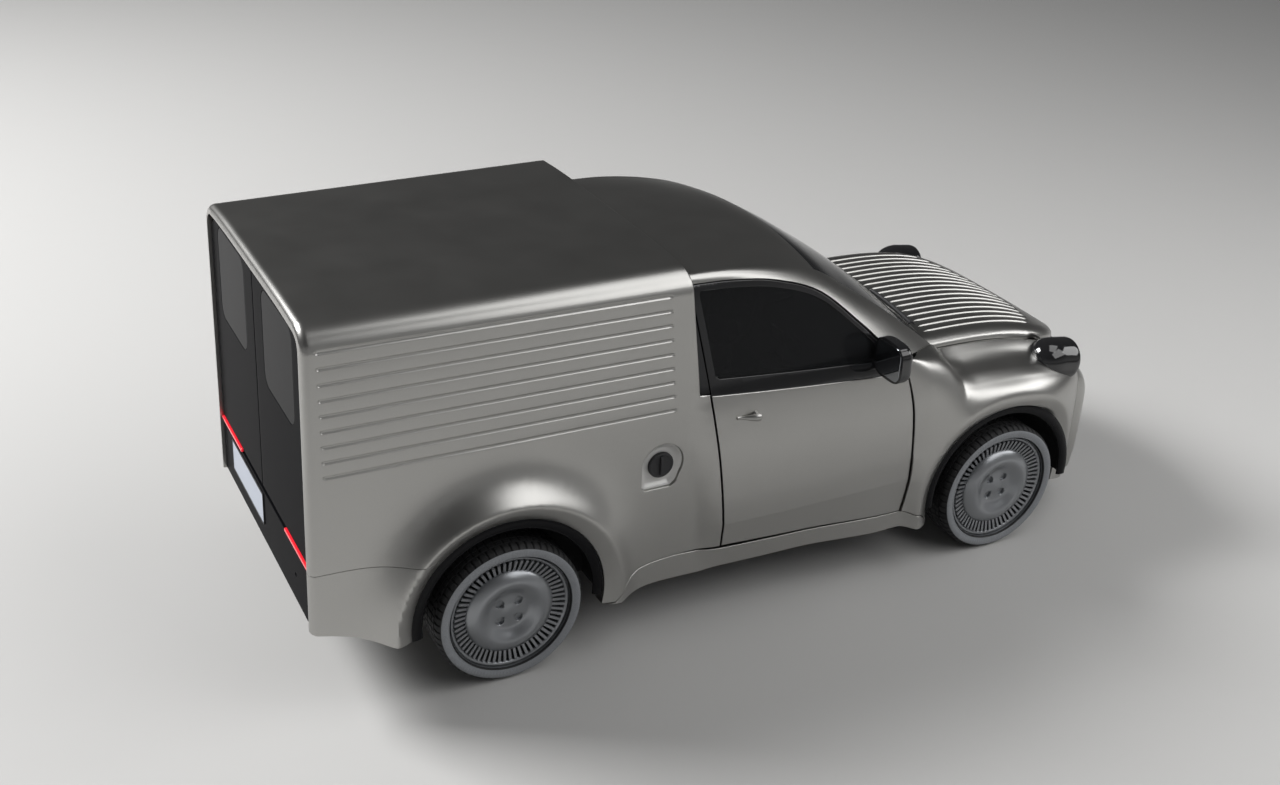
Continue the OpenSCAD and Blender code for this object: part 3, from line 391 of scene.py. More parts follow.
# REAR BUMPER CORNERS
# Two moulded plastic corners, painted with the body, carry the flare of the arch round to the tail.
# They clip to the quarter panel along a fine seam just above the tail lamps.
bumper_low = [[TAIL, TAIL_Z], [RA - 470, 312], [RA - 420, 306], [RA - 270, 300]]


def corner_skin(u, z):
    x, sunk = round_tail(u, z)
    return stack(x, rear_side(x, z) - sunk, z)


def corner_back(u, z):
    x, _ = round_tail(u, z)
    return stack(x, box_half(x) - WALL, z)


seam = math.degrees(math.asin((BUMPER_TOP - 0.5 - ARCH_Z) / ARCH_R))
foot_x = RA - math.sqrt(ARCH_R**2 - (303 - ARCH_Z) ** 2)
corner_loop = (arch_arc(RA, 180 - seam, 180 - math.degrees(math.asin((303 - ARCH_Z) / ARCH_R)), 40)
               + [(x, float(curve(bumper_low, x))) for x in np.linspace(foot_x - 8, TAIL + 4, 30)]
               + [(tail_edge(z), z) for z in np.linspace(TAIL_Z + 1, BUMPER_TOP - 0.5, 14)])
corner_pts = grid_points(np.concatenate([np.arange(TAIL - 24, TAIL + 72, 7.0),
                                         np.arange(TAIL + 76, RA - 200, 16.0)]),
                         np.arange(306, 660, 15.0))


def corner_rounding(loop):
    return np.where((loop[:, 0] < TAIL + 20) | (loop[:, 1] > BUMPER_TOP - 3), 0.8, 3.0)


corner_l = panel("rear_bumper_left", [corner_loop], corner_pts, corner_skin, corner_back, body_paint,
                 corner_rounding)
corner_r = panel("rear_bumper_right", [corner_loop], corner_pts, mirrored(corner_skin), mirrored(corner_back),
                 body_paint, corner_rounding)
fit(corner_l, "body", "body_paint", "rear_bumper")
fit(corner_r, "body", "body_paint", "rear_bumper")


# SILLS
# Rolled steel sills run below the doors from arch to arch and turn under the floor.
# They are spot-welded to the floor pan and painted with the body.
def sill_top(x):
    return mix(372, 327, (x - RA - 800) / (FA - 574 - RA - 800)) - 1.5


sill_loop = ([(RA + 436, 248), (RA + 470, 260.5), (RA + 495, 293.5), (RA + 520, 328.5), (RA + 552, 351.5),
              (RA + 600, 362.5)] + [(x, sill_top(x)) for x in np.linspace(RA + 800, FA - 574, 30)]
             + [(FA - 470, 294), (FA - 412, 242), (FA - 430, 224), (FA - 600, 236), (RA + 600, 256),
                (RA + 505, 257), (RA + 462, 251)])
sill_pts = grid_points(np.arange(RA + 450, FA - 400, 18.0), np.arange(228, 380, 12.0))


def sill_skin(x, z):
    return stack(x, flared(rear_side(x, z), np.hypot(x - FA, z - ARCH_Z), ease((x - FA + 562) / 75)), z)


def sill_back(x, z):
    return stack(x, 700.3, z)


fit(panel("sill_left", [sill_loop], sill_pts, sill_skin, sill_back, body_paint), "body", "body_paint",
    "sills")
fit(panel("sill_right", [sill_loop], sill_pts, mirrored(sill_skin), mirrored(sill_back), body_paint), "body",
    "body_paint", "sills")


# FRONT WINGS
# Each wing is one pressed skin from the sill over the arch. Its top falls from the bonnet edge to a
# shelf and then rolls over the tyre. It is bolted to the inner structure and painted with the body.
BONNET_H, BONNET_HALF, WING_END, KNEE, SHUT = 1050.0, 545.0, FA + 560, 620.0, 6.0
BONNET_TURN, BONNET_FRONT, EDGE_ROLL = FA + 290, FA + 720, 0.87
door_front = [[327, FA - 574], [420, FA - 562], [545, FA - 556], [757, FA - 565], [900, FA - 580],
              [1050, FA - 616], [BELT + 4, FA - 642]]
shelf_dip = [[0, 0], [0.25, 0.1], [0.5, 0.5], [0.67, 0.8], [0.83, 1.0], [0.92, 0.78], [1, 0]]


def wing_plan(x):
    round_nose = np.clip(1 - (np.maximum(0, x - FA) / 810) ** 2.4, 0, 1) ** (1 / 2.2)
    return np.where(x < FA, mix(DOOR_Y, FLARE - 8, ease((x - FA + 560) / 500)), (FLARE - 8) * round_nose)


def bonnet_edge(x):
    t = np.clip((x - BONNET_TURN) / (BONNET_FRONT - BONNET_TURN), 0, 1)
    return BONNET_HALF * np.sqrt(1 - t**2)


def bonnet_z(x, y):
    t = np.maximum(0, (x - FA + 270) / 700)
    edge = bonnet_edge(x)
    w = np.clip(np.abs(y) / np.maximum(edge, 1), 0, 1)
    roll = 1 - np.sqrt(1 - np.clip((w - EDGE_ROLL) / (1 - EDGE_ROLL), 0, 1) ** 2)
    drop = 44 * (edge / BONNET_HALF) ** 2 * (1 + 0.25 * t**2)
    return BONNET_H - 88 * t**3 - drop * (0.2 * w**2 + 0.8 * roll)


def wing_in_y(x):
    rear = curve([[FA - 642, 774], [FA - 355, 598], [FA - 270, BONNET_HALF + SHUT]], x)
    return np.where(x < FA - 270, rear, bonnet_edge(x) + SHUT)


def wing_in_z(x):
    rear = curve([[FA - 642, BELT + 6], [FA - 355, BONNET_H + 10], [FA - 270, BONNET_H - 49]], x)
    return np.where(x < FA - 270, rear, bonnet_z(x, bonnet_edge(x)) - 5)


def wing_power(x):
    return mix(0.5, 0.72, ease((x - FA + 600) / 400))


def wing_point(x, v):
    x, v = np.broadcast_arrays(np.asarray(x, float), np.asarray(v, float))
    a = np.maximum(0, v) * math.pi / 2
    p = wing_power(x)
    shelf = 52 * ease((x - FA + 430) / 260) * curve(shelf_dip, np.maximum(0, v))
    z = np.where(v < 0, mix(KNEE, 225, -v), mix(KNEE, wing_in_z(x), np.sin(a) ** p) - shelf)
    low = wing_plan(x) + 0.35 * curve(cab_side, z) * ease((FA - x) / 500 + 0.6)
    y = np.where(v < 0, low, mix(wing_in_y(x), wing_plan(x), np.clip(np.cos(a), 0, 1) ** p))
    y = np.where(v < 0, y, mix(cab_half(x, z), y, ease((x - FA + 642) / 170)))
    rho = np.hypot(x - FA, z - ARCH_Z)
    turned_in = np.where(x > FA, FLARE - 8 - wing_plan(x), 0)
    share = np.clip(1 - 2 * np.maximum(0, v), 0, 1) * ease((x - FA + 562) / 75)
    return stack(x, flared(y + turned_in, rho, share) - turned_in, z)


def wing_back(x, v):
    a = np.maximum(0, v) * math.pi / 2
    return wing_point(x, v) - 24 * stack(0 * a, np.cos(a), np.sin(a))


def wing_v(x, z):
    lift = np.clip((z - KNEE) / (wing_in_z(x) - KNEE), 0, 1) ** (1 / wing_power(x))
    return np.where(z < KNEE, -(KNEE - z) / (KNEE - 225), np.arcsin(lift) * 2 / math.pi)


V_SCALE = 520.0
arch_low_front = math.degrees(math.asin((226 - ARCH_Z) / ARCH_R))
arch_low_rear = 180 - math.degrees(math.asin((246 - ARCH_Z) / ARCH_R))
side_line = ([(float(curve(door_front, z)) + 3, z) for z in np.linspace(BELT - 2, 331, 36)]
             + [(FA - 520, 314), (FA - 470, 298), (FA - 440, 272)]
             + arch_arc(FA, arch_low_rear, arch_low_front, 90))
wing_loop = ([(x, V_SCALE) for x in np.linspace(WING_END, FA - 641, 60)]
             + [(x, V_SCALE * float(wing_v(x, z))) for x, z in side_line]
             + [(FA + 440, -V_SCALE), (WING_END, -V_SCALE)])
wing_pts = grid_points(np.arange(FA - 640, WING_END, 14.0), V_SCALE * np.linspace(-0.99, 0.99, 96))


def wing_skin(x, s):
    return wing_point(x, s / V_SCALE)


def wing_inner(x, s):
    return wing_back(x, s / V_SCALE)


fit(panel("wing_left", [wing_loop], wing_pts, wing_skin, wing_inner, body_paint), "body", "body_paint",
    "wings")
fit(panel("wing_right", [wing_loop], wing_pts, mirrored(wing_skin), mirrored(wing_inner), body_paint), "body",
    "body_paint", "wings")


# NOSE
# A moulded plastic front panel closes the van between the wings. It is painted with the body and has
# one wide opening for the grille and a slim intake near the ground.
NOSE_TIP = FA + 810
nose_line = [[0, NOSE_TIP - 60, 214], [0.15, NOSE_TIP - 18, 270], [0.4, NOSE_TIP - 3, 430],
             [0.5, NOSE_TIP, 510], [0.6, NOSE_TIP - 3, 590], [0.84, NOSE_TIP - 34, 740],
             [1, BONNET_FRONT + SHUT, 0]]
nose_line[-1][2] = float(bonnet_z(BONNET_FRONT, 0.0)) - 5


def nose_point(v, w):
    v, w = np.broadcast_arrays(np.asarray(v, float), np.asarray(w, float))
    side = wing_point(np.full(v.shape, WING_END), v)
    t = (v + 1) / 2
    mid_x = curve([[p[0], p[1]] for p in nose_line], t)
    mid_z = curve([[p[0], p[2]] for p in nose_line], t)
    sweep = np.sin(w * math.pi / 2)
    y = side[..., 1] * sweep
    low = np.clip(1 - np.abs(sweep) ** 2.6, 0, 1) ** 0.5
    round_front = np.sqrt(np.clip(1 - (y / BONNET_HALF) ** 2, 0, 1))
    edge_x = BONNET_TURN + (BONNET_FRONT - BONNET_TURN) * round_front + SHUT
    top = np.maximum(0, (edge_x - WING_END) / (BONNET_FRONT + SHUT - WING_END))
    bulge = mix(low, top, np.maximum(0, v) ** 2)
    z = mix(side[..., 2], mid_z, np.clip(np.cos(w * math.pi / 2), 0, 1) ** 0.8)
    return stack(WING_END + (mid_x - WING_END) * bulge, y, z)


def nose_back(v, w):
    q = nose_point(v, w)
    sweep = w * math.pi / 2
    x = np.maximum(WING_END, q[..., 0] - 30 * np.cos(sweep * 0.89))
    return stack(x, q[..., 1] - 26 * np.sin(sweep), q[..., 2] - 24 * np.maximum(0, v))


def nose_param(y, z):
    v, w = np.zeros(len(y)), np.asarray(y, float) / 900
    for _ in range(30):
        p, dv, dw = nose_point(v, w), nose_point(v + 1e-3, w), nose_point(v, w + 1e-3)
        jv, jw = (dv - p) / 1e-3, (dw - p) / 1e-3
        ry, rz = y - p[:, 1], z - p[:, 2]
        det = jv[:, 1] * jw[:, 2] - jw[:, 1] * jv[:, 2]
        v = np.clip(v + 0.7 * (ry * jw[:, 2] - jw[:, 1] * rz) / det, -0.97, 0.97)
        w = np.clip(w + 0.7 * (jv[:, 1] * rz - ry * jv[:, 2]) / det, -0.97, 0.97)
    return v, w


def rounded_box(cx, cz, half_w, half_h, r, n=8):
    out = []
    for sx, sz, a0 in ((1, -1, -90), (1, 1, 0), (-1, 1, 90), (-1, -1, 180)):
        for a in np.radians(np.linspace(a0, a0 + 90, n)):
            out.append((cx + sx * (half_w - r) + r * math.cos(a), cz + sz * (half_h - r) + r * math.sin(a)))
    return np.array(out)


W_SCALE = 640.0


def nose_hole(outline):
    outline = resample(outline, 16.0)
    v, w = nose_param(outline[:, 0], outline[:, 1])
    return np.stack([w * W_SCALE, v * V_SCALE], 1)


nose_edge = [(-W_SCALE, -V_SCALE), (W_SCALE, -V_SCALE), (W_SCALE, V_SCALE), (-W_SCALE, V_SCALE)]
nose = panel("nose_panel", [nose_edge, nose_hole(rounded_box(0, 640, 380, 105, 40)),
                            nose_hole(rounded_box(0, 330, 410, 60, 30))],
             grid_points(np.linspace(-W_SCALE, W_SCALE, 90), np.linspace(-V_SCALE, V_SCALE, 80)),
             lambda s, t: nose_point(t / V_SCALE, s / W_SCALE),
             lambda s, t: nose_back(t / V_SCALE, s / W_SCALE), body_paint)
fit(nose, "body", "body_paint", "nose")


# BONNET
# One aluminium pressing with seventeen raised ribs that run from the screen to a curved front line.
# Its edges are hemmed over an inner frame, and it lifts on two hinges at the back.
RIBS, RIB_PITCH, RIB_W, RIB_H = 17, 56.0, 9.0, 6.0
LAMP_X, LAMP_Y, LAMP_Z, LAMP_R = FA + 376, 640.0, 866.0, 106.0


def bonnet_rear(y):
    return FA - 270 - 62 * (y / BONNET_HALF) ** 2


def bonnet_fore(y):
    return BONNET_TURN + (BONNET_FRONT - BONNET_TURN) * np.sqrt(np.clip(1 - (y / BONNET_HALF) ** 2, 0, 1))


def rib_rise(x, y):
    rise = np.zeros(np.broadcast(x, y).shape)
    for i in range(RIBS):
        yc = (i - (RIBS - 1) / 2) * RIB_PITCH
        x0 = bonnet_rear(yc) + 34
        x1 = mix(bonnet_rear(yc), bonnet_fore(yc), 0.8)
        ends = np.clip(np.minimum(x - x0, x1 - x) / 26, 0, 1)
        across_rib = np.clip(1 - (np.abs(y - yc) / (RIB_W * 0.75)) ** 2, 0, 1)
        rise = np.maximum(rise, RIB_H * ease(across_rib) * np.sqrt(ends))
    return rise


def bonnet_skin(x, y):
    return stack(x, y, bonnet_z(x, y) + rib_rise(x, y))


def bonnet_under(x, y):
    return stack(x, y, bonnet_z(x, y) - 22)


def off_pod(x, y):
    dx, dy = x - LAMP_X + 30, abs(y) - LAMP_Y
    d = math.hypot(dx / 1.2, dy)
    if d < LAMP_R + 1 and dy < 0:
        return x, math.copysign(LAMP_Y - math.sqrt(max(0, (LAMP_R + 1) ** 2 - (dx / 1.2) ** 2)), y)
    return x, y


fore = [(float(bonnet_fore(y)), y) for y in BONNET_HALF * np.sin(np.radians(np.linspace(-89, 89, 70)))]
flank = [(x, BONNET_HALF) for x in np.linspace(BONNET_TURN, FA - 330, 60)]
rear = [(float(bonnet_rear(y)), y) for y in np.linspace(BONNET_HALF, -BONNET_HALF, 60)]
bonnet_loop = [off_pod(*p) for p in fore + flank + rear + [(x, -y) for x, y in flank[::-1]]]
rib_cols = np.concatenate([(i - (RIBS - 1) / 2) * RIB_PITCH
                           + np.array([-28, -14, -6.8, -5, -3.4, -1.7, 0, 1.7, 3.4, 5, 6.8, 14])
                           for i in range(RIBS)])
edge_cols = np.array([482, 494, 504, 513, 521, 528, 534, 538, 541.5])
rib_cols = np.concatenate([-edge_cols, rib_cols, [476], edge_cols])
bonnet = panel("bonnet_panel", [bonnet_loop],
               grid_points(np.arange(FA - 330, BONNET_FRONT, 15.0), rib_cols), bonnet_skin, bonnet_under,
               body_paint, 6.0)
fit(bonnet, "bonnet", "body_paint", "bonnet")


# CAB ROOF, CANT RAILS AND SCREEN PILLARS
# The cab roof is one crowned pressing. Its edges roll into the cant rails, which run down as the screen
# pillars to the foot of the windscreen. The joints are filled, so the cab reads as one skin.
rail = [[RA + 795, 592, CAB_H - 40], [RA + 1070, 588, CAB_H - 47], [FA - 1220, 574, CAB_H - 82],
        [FA - 1020, 562, CAB_H - 140], [FA - 820, 570, CAB_H - 262], [FA - 600, 588, CAB_H - 412],
        [FA - 355, 600, BONNET_H + 12]]
door_top = [[RA + 866, CAB_H - 82], [RA + 1070, CAB_H - 88], [FA - 1270, CAB_H - 115],
            [FA - 1058, CAB_H - 192], [FA - 850, BELT + 187], [FA - 758, BELT + 99], [FA - 642, BELT + 4]]


def rail_at(s):
    return stack(*[curve([[i, rail[i][k]] for i in range(7)], s) for k in range(3)])


def shell_at(s, w):
    s, w = np.broadcast_arrays(np.asarray(s, float), np.asarray(w, float))
    r, c = rail_at(s), 1 - w**2
    lean = curve([[0, 0], [2, 0], [3, 25], [4, 45], [5, 58], [6, 70]], s)
    crown = curve([[0, 40], [1, 45], [2, 48], [3, 45], [4, 40], [5, 28], [6, -8]], s)
    return stack(r[..., 0] + lean * c, r[..., 1] * w, r[..., 2] + crown * c)


def grid_solid(name, outer, inner, material):
    rows, cols = outer.shape[:2]
    n = rows * cols
    at = np.arange(n).reshape(rows, cols)
    quads = np.stack([at[:-1, :-1], at[1:, :-1], at[1:, 1:], at[:-1, 1:]], -1).reshape(-1, 4)
    faces = [tuple(q) for q in quads] + [tuple(q[::-1] + n) for q in quads]
    rim = np.concatenate([at[:, 0], at[-1, 1:], at[::-1, -1][1:], at[0, ::-1][1:-1]])
    faces += [(a, b, b + n, a + n) for a, b in zip(rim, np.roll(rim, -1))]
    return new_object(name, np.vstack([outer.reshape(-1, 3), inner.reshape(-1, 3)]), faces, material)


roof_s, roof_w = np.meshgrid(np.linspace(0, 3, 60), np.linspace(1, -1, 72), indexing="ij")
roof_top = shell_at(roof_s, roof_w)
cab_roof = grid_solid("cab_roof_skin", roof_top, roof_top - np.array([0, 0, 34.0]), body_paint)
fit(cab_roof, "body", "body_paint", "cab_roof")


def cant_rail(s, w, deep):
    x = mix(RA + 866, FA - 642, s / 6)
    z = curve(door_top, x)
    foot, head = stack(x, cab_half(x, z), z), rail_at(s)
    t = mix(0.05, 1.0, w)[..., None]
    bulge = 14 * t * (1 - t) * 4
    under = np.concatenate([0 * t, 0.7 * (1 - t), mix(0.7, 1, t)], -1)
    return mix(foot, head, t) + bulge * np.array([0, 0.7, 0.7]) - deep * under


rail_s, rail_w = np.meshgrid(np.linspace(0, 6, 121), np.linspace(0, 1, 16), indexing="ij")
for side, name in ((1, "cant_rail_left"), (-1, "cant_rail_right")):
    turned = np.array([1.0, side, 1.0])
    rail_obj = grid_solid(name, cant_rail(rail_s, rail_w, 0) * turned,
                          cant_rail(rail_s, rail_w, 34) * turned, body_paint)
    fit(rail_obj, "body", "body_paint", "side_frames")


# POSTS BEHIND THE DOORS
# A gloss black trim strip covers the steel post between the load box and the side window,
# so that glass and post read as one dark band.
gloss_black = finish_of("gloss_black", (0.012, 0.012, 0.013), 0.0, 0.08, 0.6, 0.1, 60.0)
post_u, post_z = np.meshgrid(np.linspace(0, 1, 8), np.linspace(BELT_REAR + 4, CAB_H - 88, 30), indexing="ij")
post_x = mix(box_edge_x(post_z), curve(door_rear, post_z) - 3, post_u)
for side, name in ((1, "door_post_left"), (-1, "door_post_right")):
    outer = stack(post_x, side * (cab_half(post_x, post_z) - 3), post_z)
    inner = stack(post_x, side * (cab_half(post_x, post_z) - 60), post_z)
    fit(grid_solid(name, outer, inner, gloss_black), "body", "gloss_black", "side_frames")


# WINDSCREEN
# Curved laminated glass, tinted, bonded to the pillars and to the edge of the roof.
def tinted(name, colour, clear):
    m = bpy.data.materials.new(name)
    m.use_nodes = True
    nt = m.node_tree
    b = nt.nodes["Principled BSDF"]
    b.inputs["Base Color"].default_value = (*colour, 1)
    b.inputs["Coat Weight"].default_value = 0.3
    haze = nt.nodes.new("ShaderNodeTexNoise")
    haze.inputs["Scale"].default_value = 2.5
    place = nt.nodes.new("ShaderNodeTexCoord")
    smear = nt.nodes.new("ShaderNodeMapRange")
    smear.inputs["To Min"].default_value = 0.02
    smear.inputs["To Max"].default_value = 0.07
    nt.links.new(place.outputs["Object"], haze.inputs["Vector"])
    nt.links.new(haze.outputs["Fac"], smear.inputs["Value"])
    nt.links.new(smear.outputs["Result"], b.inputs["Roughness"])
    through = nt.nodes.new("ShaderNodeBsdfTransparent")
    through.inputs["Color"].default_value = (0.45, 0.46, 0.47, 1)
    edge = nt.nodes.new("ShaderNodeFresnel")
    edge.inputs["IOR"].default_value = 1.5
    share = nt.nodes.new("ShaderNodeMapRange")
    share.inputs["To Min"].default_value = 1 - clear
    share.inputs["To Max"].default_value = 1.0
    blend = nt.nodes.new("ShaderNodeMixShader")
    nt.links.new(edge.outputs["Fac"], share.inputs["Value"])
    nt.links.new(share.outputs["Result"], blend.inputs["Fac"])
    nt.links.new(through.outputs["BSDF"], blend.inputs[1])
    nt.links.new(b.outputs["BSDF"], blend.inputs[2])
    nt.links.new(blend.outputs["Shader"], nt.nodes["Material Output"].inputs["Surface"])
    return m


tinted_glass = tinted("tinted_glass", (0.03, 0.031, 0.033), 0.72)
screen_s, screen_w = np.meshgrid(np.linspace(3.02, 6, 70), np.linspace(0.9998, -0.9998, 64), indexing="ij")
screen_top = shell_at(screen_s, screen_w) - np.array([0, 0, 3.0])
screen = grid_solid("windscreen_glass", screen_top, screen_top - np.array([0, 0, 7.8]), tinted_glass)
fit(screen, "body", "tinted_glass", "windscreen")


# SIDE DOORS
# A steel door skin hemmed round an inner pressing. Above the waist a gloss black frame and a broad
# waist strip hold the glass, and the cab side is covered with grained trim.
DOOR_T, GLASS_T, FRAME_W = 62.0, 6.0, 30.0
trim_plastic = finish_of("trim_plastic", (0.022, 0.022, 0.024), 0.0, 0.55, 0.0, 0.25, 700.0, 0.25)


def strip_low(x):
    return 1121 - 0.075 * (x + 320)


def strip_high(x):
    return 1187 - 0.072 * (x + 320)


door_line = np.array([(float(curve(door_rear, z)), z) for z in np.linspace(377, CAB_H - 82, 50)]
                     + [(x, float(curve(door_top, x))) for x in np.linspace(RA + 890, FA - 660, 70)]
                     + [(float(curve(door_front, z)), z) for z in np.linspace(BELT + 4, 327, 40)])
door_edge = inset(door_line, 3.0)


def cut_loop(loop, height, above):
    out = []
    for a, b in zip(loop, np.roll(loop, -1, axis=0)):
        ga, gb = a[1] - height(a[0]), b[1] - height(b[0])
        if (ga >= 0) == above:
            out.append(a)
        if (ga >= 0) != (gb >= 0):
            out.append(a + (b - a) * ga / (ga - gb))
    return np.array(out)


skin_loop = cut_loop(door_edge, lambda x: strip_low(x) - 0.6, False)
frame_loop = cut_loop(door_edge, lambda x: strip_low(x) + 0.6, True)
glass_front = FA - 790
glass_loop = np.array([(float(curve(door_rear, z)) + FRAME_W + 6, z)
                       for z in np.linspace(strip_high(RA + 950) + 14, CAB_H - 125, 12)]
                      + [(float(curve(door_rear, CAB_H - 110)) + FRAME_W + 16, CAB_H - 111)]
                      + [(x, float(curve(door_top, x)) - FRAME_W)
                         for x in np.linspace(RA + 935, glass_front - 6, 44)]
                      + [(glass_front + 6, float(curve(door_top, glass_front)) - FRAME_W - 20),
                         (glass_front + 8, strip_high(glass_front) + 8),
                         (glass_front - 4, strip_high(glass_front))]
                      + [(float(curve(door_rear, strip_high(RA + 950))) + FRAME_W + 22,
                          strip_high(RA + 950))])


def door_skin(depth):
    return lambda x, z: stack(x, cab_half(x, z) - depth, z)


skin_pts = grid_points(np.arange(RA + 890, FA - 545, 20.0),
                       np.concatenate([np.arange(335, 480, 16.0), np.arange(480, 520, 5.0),
                                       np.arange(528, 1130, 18.0)]))
frame_pts = grid_points(np.arange(RA + 860, FA - 620, 16.0), np.arange(1060, CAB_H - 80, 16.0))
for side, name in ((1, "door_left"), (-1, "door_right")):
    turn_side = (lambda f: f) if side > 0 else mirrored
    skin = panel(name + "_skin", [skin_loop], skin_pts, turn_side(door_skin(0)),
                 turn_side(door_skin(DOOR_T)), body_paint)
    fit(skin, name, "body_paint", name)
    surround = panel(name + "_frame", [frame_loop, glass_loop], frame_pts, turn_side(door_skin(2)),
                     turn_side(door_skin(DOOR_T - 14)), gloss_black, 2.0)
    fit(surround, name, "gloss_black", name)
    pane = panel(name + "_pane", [inset(resample(glass_loop, 14.0), 0.4)], frame_pts, turn_side(door_skin(5)),
                 turn_side(door_skin(5 + GLASS_T)), tinted_glass, 0.8)
    fit(pane, name, "tinted_glass", name + "_glass")


# WHEELS
# A pressed and lacquered steel disc is welded into a rolled rim: a dished hub with four sunk bolts, and
# a sloping ring of narrow vents. The radial tyre has a pale knurled band moulded into its sidewall.
WHEEL_Y, AXLE_Z, BOLT_R, HOLE_R = 735.0, 325.0, 58.0, 18.5
VENTS, VENT_IN, VENT_OUT = 60, 194.0, 246.0
tyre_rubber = finish_of("tyre_rubber", (0.014, 0.014, 0.015), 0.0, 0.72, 0.0, 0.2, 500.0, 0.15)
band_rubber = finish_of("band_rubber", (0.24, 0.25, 0.265), 0.0, 0.6, 0.0, 0.3, 300.0, 0.6)
wheel_paint = finish_of("wheel_paint", (0.29, 0.3, 0.315), 0.75, 0.3, 0.2, 0.08)
dark_steel = finish_of("dark_steel", (0.012, 0.012, 0.013), 0.2, 0.55, 0.0, 0.2, 200.0)


def lathe(profile, n):
    p = np.asarray(profile, float)
    a = around(n)
    verts = stack(np.outer(np.cos(a), p[:, 0]), np.outer(np.sin(a), p[:, 0]),
                  np.broadcast_to(p[:, 1], (n, len(p))))
    return verts.reshape(-1, 3), ring_faces(n, len(p))


def ring_faces(n, m):
    at = np.arange(n * m).reshape(n, m)
    nxt = np.roll(at, -1, axis=0)
    quads = np.stack([at, nxt, np.roll(nxt, -1, axis=1), np.roll(at, -1, axis=1)], -1)
    return [tuple(q) for q in quads.reshape(-1, 4)]


def wheel_place(verts, x, side):
    v = np.asarray(verts, float)
    return np.stack([x + v[:, 0], side * (WHEEL_Y + v[:, 2]), AXLE_Z + v[:, 1]], 1)


def node_group(name, sockets):
    tree = bpy.data.node_groups.new(name, "GeometryNodeTree")
    tree.interface.new_socket("Geometry", in_out="OUTPUT", socket_type="NodeSocketGeometry")
    for label, kind in sockets:
        tree.interface.new_socket(label, in_out="INPUT", socket_type=kind)
    return tree, tree.nodes.new("NodeGroupInput"), tree.nodes.new("NodeGroupOutput")


def ring_tree(name, bolt):
    tree, given, result = node_group(name, [("Count", "NodeSocketInt"), ("Size", "NodeSocketVector"),
                                            ("Offset", "NodeSocketVector"), ("Tilt", "NodeSocketFloat"),
                                            ("Finish", "NodeSocketMaterial")])
    add, link = tree.nodes.new, tree.links.new
    line, put = add("GeometryNodeMeshLine"), add("GeometryNodeInstanceOnPoints")
    place = add("GeometryNodeTransform")
    line.inputs["Offset"].default_value = (0, 0, 0)
    link(given.outputs["Count"], line.inputs["Count"])
    link(line.outputs["Mesh"], put.inputs["Points"])
    if bolt:
        solid, parts = add("GeometryNodeMeshCylinder"), add("ShaderNodeSeparateXYZ")
        solid.inputs["Vertices"].default_value = 6
        link(given.outputs["Size"], parts.inputs["Vector"])
        link(parts.outputs["X"], solid.inputs["Radius"])
        link(parts.outputs["Z"], solid.inputs["Depth"])
    else:
        solid = add("GeometryNodeMeshCube")
        link(given.outputs["Size"], solid.inputs["Size"])
    tilt, turn = add("ShaderNodeCombineXYZ"), add("ShaderNodeCombineXYZ")
    link(given.outputs["Tilt"], tilt.inputs["Y"])
    link(solid.outputs["Mesh"], place.inputs["Geometry"])
    link(given.outputs["Offset"], place.inputs["Translation"])
    link(tilt.outputs["Vector"], place.inputs["Rotation"])
    link(place.outputs["Geometry"], put.inputs["Instance"])
    index, share, angle = add("GeometryNodeInputIndex"), add("ShaderNodeMath"), add("ShaderNodeMath")
    share.operation, angle.operation = "DIVIDE", "MULTIPLY"
    angle.inputs[1].default_value = 2 * math.pi
    link(index.outputs["Index"], share.inputs[0])
    link(given.outputs["Count"], share.inputs[1])
    link(share.outputs["Value"], angle.inputs[0])
    link(angle.outputs["Value"], turn.inputs["Z"])
    link(turn.outputs["Vector"], put.inputs["Rotation"])
    finish_tree(tree, put, given, result)
    return tree


def finish_tree(tree, put, given, result):
    real, paint = tree.nodes.new("GeometryNodeRealizeInstances"), tree.nodes.new("GeometryNodeSetMaterial")
    tree.links.new(put.outputs["Instances"], real.inputs["Geometry"])
    tree.links.new(real.outputs["Geometry"], paint.inputs["Geometry"])
    tree.links.new(given.outputs["Finish"], paint.inputs["Material"])
    tree.links.new(paint.outputs["Geometry"], result.inputs["Geometry"])


def grown(name, tree, material, **values):
    mesh = bpy.data.meshes.new(name)
    obj = bpy.data.objects.new(name, mesh)
    bpy.context.scene.collection.objects.link(obj)
    mod = obj.modifiers.new("pattern", "NODES")
    mod.node_group = tree
    for item in tree.interface.items_tree:
        if item.in_out == "INPUT":
            mod[item.identifier] = material if item.name == "Finish" else values[item.name.lower()]
    deps = bpy.context.evaluated_depsgraph_get()
    made = bpy.data.meshes.new_from_object(obj.evaluated_get(deps))
    verts = np.array([tuple(v.co) for v in made.vertices])
    faces = [tuple(p.vertices) for p in made.polygons]
    bpy.data.objects.remove(obj)
    return verts, faces


def drill(obj, spots, radius, axis, depth):
    cut_v, cut_f = [], []
    for spot in spots:
        v, f = lathe([(0, -depth), (radius, -depth), (radius, depth), (0, depth)], 24)
        v = v if axis == "z" else v[:, [0, 2, 1]]
        cut_f += [tuple(i + len(cut_v) for i in face) for face in f]
        cut_v += (v + np.asarray(spot)).tolist()
    cutter = new_object("cutter", cut_v, cut_f, obj.data.materials[0])
    mod = obj.modifiers.new("holes", "BOOLEAN")
    mod.object, mod.operation, mod.solver = cutter, "DIFFERENCE", "EXACT"
    deps = bpy.context.evaluated_depsgraph_get()
    made = bpy.data.meshes.new_from_object(obj.evaluated_get(deps))
    obj.modifiers.remove(mod)
    obj.data = made
    bpy.data.objects.remove(cutter)


